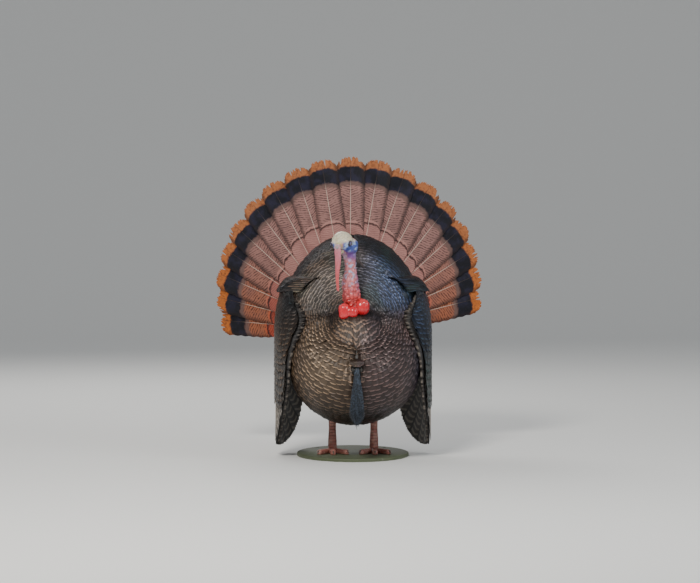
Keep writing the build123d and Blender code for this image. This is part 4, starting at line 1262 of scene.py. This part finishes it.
def wattles_skin(material):
    """The three smooth lumps on the throat: full below, drawn in where they hang from the neck."""
    points, normals, faces = voxel_copy("wattles", 0.0011, 30)
    z = points[:, 2]
    low, high = z.min(), z.max()
    share = (z - low) / (high - low)
    fold = np.sin(points[:, 0] * 900 + 2.0 * clouds(points, 70.0)) * smoothstep(0.45, 0.95, share)
    rise = 0.0006 * fold + 0.0009 * clouds(points, 55.0, 2) - 0.0022 * smoothstep(0.55, 1.0, share)
    points = points + normals * rise[:, None]
    colour = mix(WATTLE_RED, (0.70, 0.020, 0.032), smoothstep(-0.2, 0.5, clouds(points, 45.0)))
    colour = mix(colour, CORAL, 0.6 * smoothstep(0.55, 0.95, share))
    colour = colour * (1 - 0.35 * smoothstep(0.10, 0.0, share))[:, None]
    piece = new_object("wattle_lumps", points, faces, material, "head", colours=colour)
    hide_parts("wattles")


def snood_skin(material):
    """The snood: a limp tapering strip, ringed with fine wrinkles."""
    points, normals, faces = voxel_copy("snood", 0.0009, 5)
    z = points[:, 2]
    share = (z.max() - z) / (z.max() - z.min())
    wrinkle = np.sin(z * 2600 + 3.0 * clouds(points, 120.0)) * (0.35 + 0.65 * share)
    rise = 0.00028 * wrinkle + 0.0005 * clouds(points, 150.0)
    fleshy = 0.0011 * smoothstep(0.06, 0.2, share) * smoothstep(0.75, 0.3, share)
    points = points + normals * (rise + fleshy)[:, None]
    sway = 0.0012 * np.sin(share * 7.0) * smoothstep(0.15, 0.4, share)
    points[:, 0] += sway
    top, low = (0.56, 0.19, 0.24), (0.62, 0.085, 0.085)
    colour = mix(top, low, smoothstep(0.1, 0.85, share + 0.08 * clouds(points, 60.0)))
    colour = mix((0.50, 0.38, 0.42), colour, smoothstep(0.02, 0.16, share))
    # Painted shade in the troughs of the wrinkles
    colour = mix(colour, (0.40, 0.06, 0.08), 0.3 * (0.5 - 0.5 * wrinkle))
    piece = new_object("snood_flesh", points, faces, material, "snood", colours=colour)
    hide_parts("snood")


def beak_horn():
    """Streaked horn, darker towards the tip."""
    nodes = Nodes("beak_horn")
    place = nodes.add("ShaderNodeTexCoord").outputs["Object"]
    height = nodes.add("ShaderNodeSeparateXYZ", {"Vector": place}).outputs["Z"]
    low, high = (corner[2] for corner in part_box("beak"))
    colour = nodes.blend((0.50, 0.42, 0.27), (0.28, 0.20, 0.12), nodes.patches(420.0, 3.0, 0.35, 0.7))
    colour = nodes.blend((0.20, 0.13, 0.09), colour, nodes.ramp(height, low, low + 0.6 * (high - low)))
    nodes.bump(nodes.noise(900.0, 2.0), 0.3, 0.0003)
    return nodes.finish(colour, Roughness=0.35, Coat_Weight=0.3)


def beak_shape(material):
    """The beak with a gape line between its halves and a hooked tip."""
    points, normals, faces = voxel_copy("beak", 0.0006, 3)
    tip = points[points[:, 2].argmin()]
    root = points[points[:, 2] > points[:, 2].max() - 0.004].mean(axis=0)
    way = normalise(tip - root)
    along = (points - root) @ way
    out = points - root - along[:, None] * way
    upward = normalise(np.array([0.0, 0.0, 1.0]) - way[2] * way)
    over = out @ upward
    gape = hump((over + 0.0008) / 0.0005) * smoothstep(0.022, 0.016, along)
    points = points - normals * (0.0007 * gape)[:, None]
    points[:, 2] -= 0.0016 * smoothstep(0.012, 0.022, along)
    piece = new_object("beak_horn", points, faces, material, "head")
    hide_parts("beak")


def eye_material():
    return grained_material(
        "eye_gloss", (0.030, 0.014, 0.008), (0.10, 0.045, 0.02), (700.0, 3.0), (0.4, 0.7),
        Roughness=0.06, Coat_Weight=1.0, Coat_Roughness=0.02,
    )


def eye_lids(material):
    """A ring of lid skin round each eye."""
    right_eye, left_eye = eye_middles()
    middle = (right_eye + left_eye) / 2
    ahead = normalise(np.array([-0.375, -0.927, 0.0]))
    rings, sides = 37, 10
    ring = np.append(ring_of(rings - 1), 0.0)[:, None]
    tube = ring_of(sides)[None, :]
    radius = 0.0047 + 0.0011 * np.cos(tube)
    lift = (0.0008 + 0.0009 * np.sin(tube)) * np.ones_like(ring)
    lids = []
    for eye in (right_eye, left_eye):
        out = normalise(normalise(eye - middle) + 0.25 * ahead)
        a = normalise(np.cross(out, [0, 0, 1.0]))
        b = np.cross(a, out)
        flat = (radius * np.cos(ring))[..., None] * a + (0.80 * radius * np.sin(ring))[..., None] * b
        lids.append(eye + flat + lift[..., None] * out)
    points = np.reshape(lids, (-1, 3))
    colour = mix((0.05, 0.05, 0.16), (0.20, 0.22, 0.45), smoothstep(-0.3, 0.4, clouds(points, 400.0)))
    faces = many_grids(2, rings, sides, closed=True)
    new_object("eye_lids", points, faces, material, "head", colours=colour)


# ------------------------------------------------------------------ beard
def beard_material():
    return grained_material(
        "beard_bristle", (0.010, 0.014, 0.022), (0.060, 0.085, 0.125), (260.0, 3.0), (0.4, 0.75),
        (1500.0, 2.0, 0.2, 0.0002), Roughness=0.36, Metallic=0.1, Sheen_Weight=0.1,
    )


def beard_bristles(material):
    """Coarse hairs in one tuft, gathered at the clip, spread below it and drawn to a point."""
    low, high = corners_of("beard")
    middle = (low + high) / 2
    count, rows, sides = 300, 22, 4
    top_half, wide_half = 0.0065, 0.46 * (high[0] - low[0])
    spread = rng.uniform(-1, 1, count)
    deep = rng.uniform(-1, 1, count)
    end = rng.uniform(0.80, 1.0, count) - 0.16 * np.abs(spread)
    share = np.linspace(0, 1, rows)[None, :] * end[:, None]
    swell = smoothstep(0.0, 0.70, share)
    gather = 1 - 0.55 * smoothstep(0.74, 1.0, share)
    width = (top_half + (wide_half - top_half) * swell) * gather
    bends, phases = rng.uniform(5, 16, count)[:, None], rng.uniform(0, 6, count)[:, None]
    wave = 0.0009 * np.sin(share * bends + phases)
    x = middle[0] + spread[:, None] * width + wave * swell
    y = middle[1] + deep[:, None] * (0.0032 + 0.0006 * swell) * np.sqrt(1 - 0.7 * spread[:, None] ** 2)
    z = high[2] - 0.004 - share * (high[2] - 0.004 - low[2] + 0.003)
    line = np.stack([x, y, z], axis=-1)
    thinning = 1 - 0.75 * np.linspace(0, 1, rows)[None, :] ** 3
    radius = 0.00052 * thinning * rng.uniform(0.8, 1.25, (count, 1))
    ring = ring_of(sides)
    circle = np.stack([np.cos(ring), np.sin(ring), np.zeros(sides)], axis=-1)
    points = line[:, :, None, :] + radius[:, :, None, None] * circle
    faces = many_grids(count, rows, sides, closed=True)
    piece = new_object("beard_bristles", points, faces, material, "beard")
    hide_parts("beard")


def beard_root(material):
    """The rubbery button that the bristles are set in, round the clip's pin."""
    low, high = corners_of("beard")
    rows, sides = 14, 24
    share = np.linspace(0, 1, rows)[:, None]
    ring = ring_of(sides)[None, :]
    bulge = np.sin(math.pi * (0.12 + 0.80 * share)) ** 0.6
    x = (low[0] + high[0]) / 2 + 0.0072 * bulge * np.cos(ring)
    y = (low[1] + high[1]) / 2 + 0.0041 * bulge * np.sin(ring)
    z = high[2] - 0.0005 - 0.020 * share * np.ones_like(ring)
    faces = grid_faces(rows, sides, closed=True)
    new_object("beard_root", np.stack([x, y, z], axis=-1), faces, material, "beard")


# ------------------------------------------------------------------ legs, feet, stand and hardware
HEEL_BEHIND_NECK = 0.140


def scaled_leg(node, radius_of_scales, material, kind):
    """A leg or foot with overlapping scutes down the front and small scales elsewhere."""
    points, normals, faces = voxel_copy(node, 0.0013, 3)
    x, y, z = points[:, 0], points[:, 1], points[:, 2]
    low, high = points.min(axis=0), points.max(axis=0)
    middle = (low + high) / 2
    inside = smoothstep(low[2] + 0.0008, low[2] + 0.003, z)
    if kind == "leg":
        front = smoothstep(0.3, 0.75, -(y - middle[1]) / (0.5 * (high[1] - low[1])))
        step = np.mod(z - low[2], 0.0078) / 0.0078
        waist = 0.0022 * hump((z - low[2] - 0.55 * (high[2] - low[2])) / 0.028)
        inside = inside * smoothstep(high[2] - 0.0008, high[2] - 0.003, z)
    else:
        reach = np.hypot(x - middle[0], y - (NECK[1] + HEEL_BEHIND_NECK))
        front = smoothstep(0.2, 0.7, normals[:, 2])
        step = np.mod(reach, 0.0058) / 0.0058
        waist = 0.0
    scute = 0.0009 * (step - 0.5) * front - 0.0008 * smoothstep(0.12, 0.0, step) * front
    near = cells(points, radius_of_scales)
    edge = smoothstep(0.0, 0.20, near[:, 1] - near[:, 0])
    small = (0.00045 * edge) * (1 - front)
    points = points + normals * ((scute + small - waist) * inside)[:, None]
    colour = mix((0.36, 0.125, 0.095), (0.50, 0.24, 0.19), smoothstep(-0.3, 0.5, clouds(points, 70.0)))
    # Painted shade in the seams where the scutes overlap and in the grooves between the small scales
    dark = np.maximum(front * smoothstep(0.16, 0.0, step), (1 - edge) * (1 - front))
    colour = colour * (1 - 0.60 * dark[:, None])
    piece = new_object(node + "_scaled", points, faces, material, "root", colours=colour)
    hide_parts(node)


def taper(name, line, radii, material, body, slot, squeeze=1.0):
    """A tapering round horn along a few points."""
    line, sides = np.asarray(line, dtype=float), 12
    share = np.linspace(0, 1, len(line))
    fine = np.linspace(0, 1, 18)
    path = np.stack([np.interp(fine, share, line[:, k]) for k in range(3)], axis=-1)
    for _ in range(6):
        path[1:-1] = (path[:-2] + 2 * path[1:-1] + path[2:]) / 4
    radius = np.interp(fine, share, radii)
    ways = normalise(np.gradient(path, axis=0))
    aside = normalise(np.cross(ways, [0.02, 0.03, 1.0]))
    other = np.cross(aside, ways)
    ring = ring_of(sides)[None, :, None]
    circle = squeeze * np.cos(ring) * aside[:, None] + np.sin(ring) * other[:, None]
    points = path[:, None] + deep(radius) * circle
    new_object(name, points, grid_faces(len(fine), sides, closed=True), material, body)


def claws_and_spurs(material):
    for word in ("left", "right"):
        low, high = corners_of("foot_" + word)
        middle_x, heel_y = (low[0] + high[0]) / 2, NECK[1] + HEEL_BEHIND_NECK
        for number, turn in enumerate((-34.0, 0.0, 34.0, 180.0)):
            reach = 0.0600 if turn != 180.0 else 0.030
            way = np.array([math.sin(math.radians(turn)), -math.cos(math.radians(turn)), 0.0])
            start = np.array([middle_x, heel_y, high[2] - 0.0050]) + way * reach
            line = [start, start + way * 0.006 + [0, 0, 0.0015], start + way * 0.0115 - [0, 0, 0.0035]]
            name = "claw_" + word + "_" + str(number + 1)
            taper(name, line, (0.0036, 0.0028, 0.0005), material, "root", "leg_skin", 0.8)
        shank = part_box("leg_" + word)
        height = shank[0][2] + 0.046
        start = np.array([middle_x, heel_y + 0.0075, height])
        inward = 0.35 if middle_x < 0 else -0.35
        line = [start, start + [0.008 * inward, 0.010, 0.001], start + [0.016 * inward, 0.019, 0.008]]
        taper("spur_" + word, line, (0.0050, 0.0034, 0.0006), material, "root", "leg_skin")


def claw_material():
    return grained_material(
        "claw_horn", (0.035, 0.026, 0.022), (0.11, 0.08, 0.06), (300.0, 3.0), (0.35, 0.7),
        (1200.0, 2.0, 0.25, 0.0003), Roughness=0.32, Coat_Weight=0.2,
    )


def paint_material():
    """Matt olive paint with scuffs and fine grit."""
    nodes = Nodes("stand_paint")
    patchy = nodes.blend((0.060, 0.075, 0.035), (0.085, 0.100, 0.052), nodes.noise(14.0, 5.0))
    scuffs = nodes.times(nodes.ramp(nodes.noise(70.0, 6.0, distortion=1.2), 0.62, 0.70), 0.5)
    colour = nodes.blend(patchy, (0.20, 0.19, 0.16), scuffs)
    nodes.bump(nodes.noise(1300.0, 3.0), 0.35, 0.0005)
    return nodes.finish(colour, Roughness=0.62)


def steel_material():
    return grained_material(
        "zinc_steel", (0.46, 0.46, 0.45), (0.60, 0.60, 0.59), (240.0, 5.0), pits=(1800.0, 3.0, 0.15, 0.0002),
        Metallic=1.0, Roughness=0.36,
    )


def plastic_material():
    return grained_material(
        "dark_plastic", (0.020, 0.019, 0.017), (0.034, 0.031, 0.028), (120.0, 4.0),
        pits=(1600.0, 2.0, 0.3, 0.0003), Roughness=0.5,
    )


STEEL_NODES = (
    "leg_rods", "leg_nuts", "seam_screws", "seam_nuts", "hub_bolt", "wing_nut", "tilt_pin", "snood_pin",
    "wing_pins",
)
PLASTIC_NODES = (
    "beard_pin", "leg_tray", "keel_plate", "neck_socket", "beard_clip", "wing_bracket_left",
    "wing_bracket_right", "tail_bracket", "fan_clamp_plate", "tilt_arm",
)


def paint_nodes(names, material):
    for name in names:
        mesh = frame["nodes"][name].data
        mesh.materials.clear()
        mesh.materials.append(material)


# ------------------------------------------------------------------ stage, light and camera
def make_stage():
    """A plain pale floor that curves up far behind the object."""
    rows, columns = 24, 2
    y = np.concatenate([np.linspace(-8, 5, 12), 5 + 4 * np.sin(np.linspace(0.1, math.pi / 2, 12))])
    z = np.concatenate([np.zeros(12), 4 - 4 * np.cos(np.linspace(0.1, math.pi / 2, 12))])
    x = np.array([-14.0, 14.0])
    points = np.stack([np.tile(x, rows), np.repeat(y, columns), np.repeat(z, columns)], axis=-1)
    mesh = bpy.data.meshes.new("floor")
    mesh.from_pydata(points.tolist(), [], grid_faces(rows, columns).tolist())
    mesh.polygons.foreach_set("use_smooth", [True] * len(mesh.polygons))
    floor = bpy.data.objects.new("floor", mesh)
    bpy.context.scene.collection.objects.link(floor)
    nodes = Nodes("floor_paint")
    mesh.materials.append(nodes.finish((0.74, 0.74, 0.72), Roughness=0.8))


def area_light(name, place, target, size, power, colour):
    data = bpy.data.lights.new(name, "AREA")
    data.shape = "DISK"
    data.size = size
    data.energy = power
    data.color = colour
    light = bpy.data.objects.new(name, data)
    light.location = place
    light.rotation_euler = (Vector(target) - Vector(place)).to_track_quat("-Z", "Y").to_euler()
    bpy.context.scene.collection.objects.link(light)


def make_lights():
    middle = (0.0, 0.0, 0.40)
    area_light("key", (-0.9, -2.7, 2.5), middle, 0.8, 105, (1.0, 0.965, 0.91))
    area_light("fill", (2.7, -1.8, 1.6), middle, 1.8, 34, (0.90, 0.95, 1.0))
    area_light("back", (-0.8, 2.6, 2.3), middle, 1.6, 45, (1.0, 0.98, 0.95))
    world = bpy.data.worlds.new("studio")
    world.use_nodes = True
    world.node_tree.nodes["Background"].inputs["Color"].default_value = (0.86, 0.89, 0.93, 1)
    world.node_tree.nodes["Background"].inputs["Strength"].default_value = 0.45
    bpy.context.scene.world = world


def make_camera():
    """A long lens from almost straight ahead, low down, with the object two fifths of the picture wide."""
    distance, picture_width = 8.0, 1.75
    azimuth, elevation = math.radians(-2.3), math.radians(2.5)
    target = Vector((-0.0075, 0.0, 0.411))
    data = bpy.data.cameras.new("camera")
    data.sensor_width = 36.0
    data.lens = data.sensor_width * distance / picture_width
    camera = bpy.data.objects.new("camera", data)
    level = math.cos(elevation)
    way = Vector((math.sin(azimuth) * level, -math.cos(azimuth) * level, math.sin(elevation)))
    camera.location = target + way * distance
    camera.rotation_euler = (-way).to_track_quat("-Z", "Y").to_euler()
    bpy.context.scene.collection.objects.link(camera)
    bpy.context.scene.camera = camera


# ------------------------------------------------------------------ making everything
make_camera()
make_lights()
make_stage()

tail_plumage = tail_material()
for feather_index in range(FEATHER_COUNT):
    tail_feather(feather_index, tail_plumage)

body = BodySurface()
down_skin_and_shade = skin_material()
body_plumage = plumage_material("body_plumage", (0.004, 0.004, 0.006), (0.05, 0.09, 0.15))
under_skin(body, down_skin_and_shade)
contour_feathers(body, body_plumage)
neck_ruff(body, down_skin_and_shade, body_plumage)

wing_plumage = plumage_material("wing_plumage", (0.004, 0.004, 0.005), (0.04, 0.10, 0.10))
quills, lining = quill_material(), wing_skin_material()
for side_name in ("left", "right"):
    wing = WingSurface(side_name)
    wing_skin(wing, lining)
    wing_quills(wing, quills)
    wing_coverts(wing, wing_plumage)
    scapulars(body, wing, down_skin_and_shade, body_plumage)
clip_feathers(body, body_plumage)

head_skin(flesh_material("head_skin", 0.42, 0.25, 900.0, 0.0004))
wattles_skin(flesh_material("wattle_skin", 0.24, 0.7, 500.0, 0.0002))
snood_skin(flesh_material("snood_skin", 0.40, 0.3, 900.0, 0.0003))
beak_shape(beak_horn())
eye_lids(flesh_material("lid_skin", 0.45, 0.2, 900.0, 0.0003))
paint_nodes(("eyes",), eye_material())
bristles = beard_material()
beard_bristles(bristles)
beard_root(bristles)
leg_skin = flesh_material("leg_skin", 0.46, 0.2, 700.0, 0.0003)
for leg_node in ("leg_left", "leg_right"):
    scaled_leg(leg_node, 260.0, leg_skin, "leg")
for foot_node in ("foot_left", "foot_right"):
    scaled_leg(foot_node, 300.0, leg_skin, "foot")
claws_and_spurs(claw_material())
paint_nodes(("base_plate",), paint_material())
paint_nodes(STEEL_NODES, steel_material())
paint_nodes(PLASTIC_NODES, plastic_material())
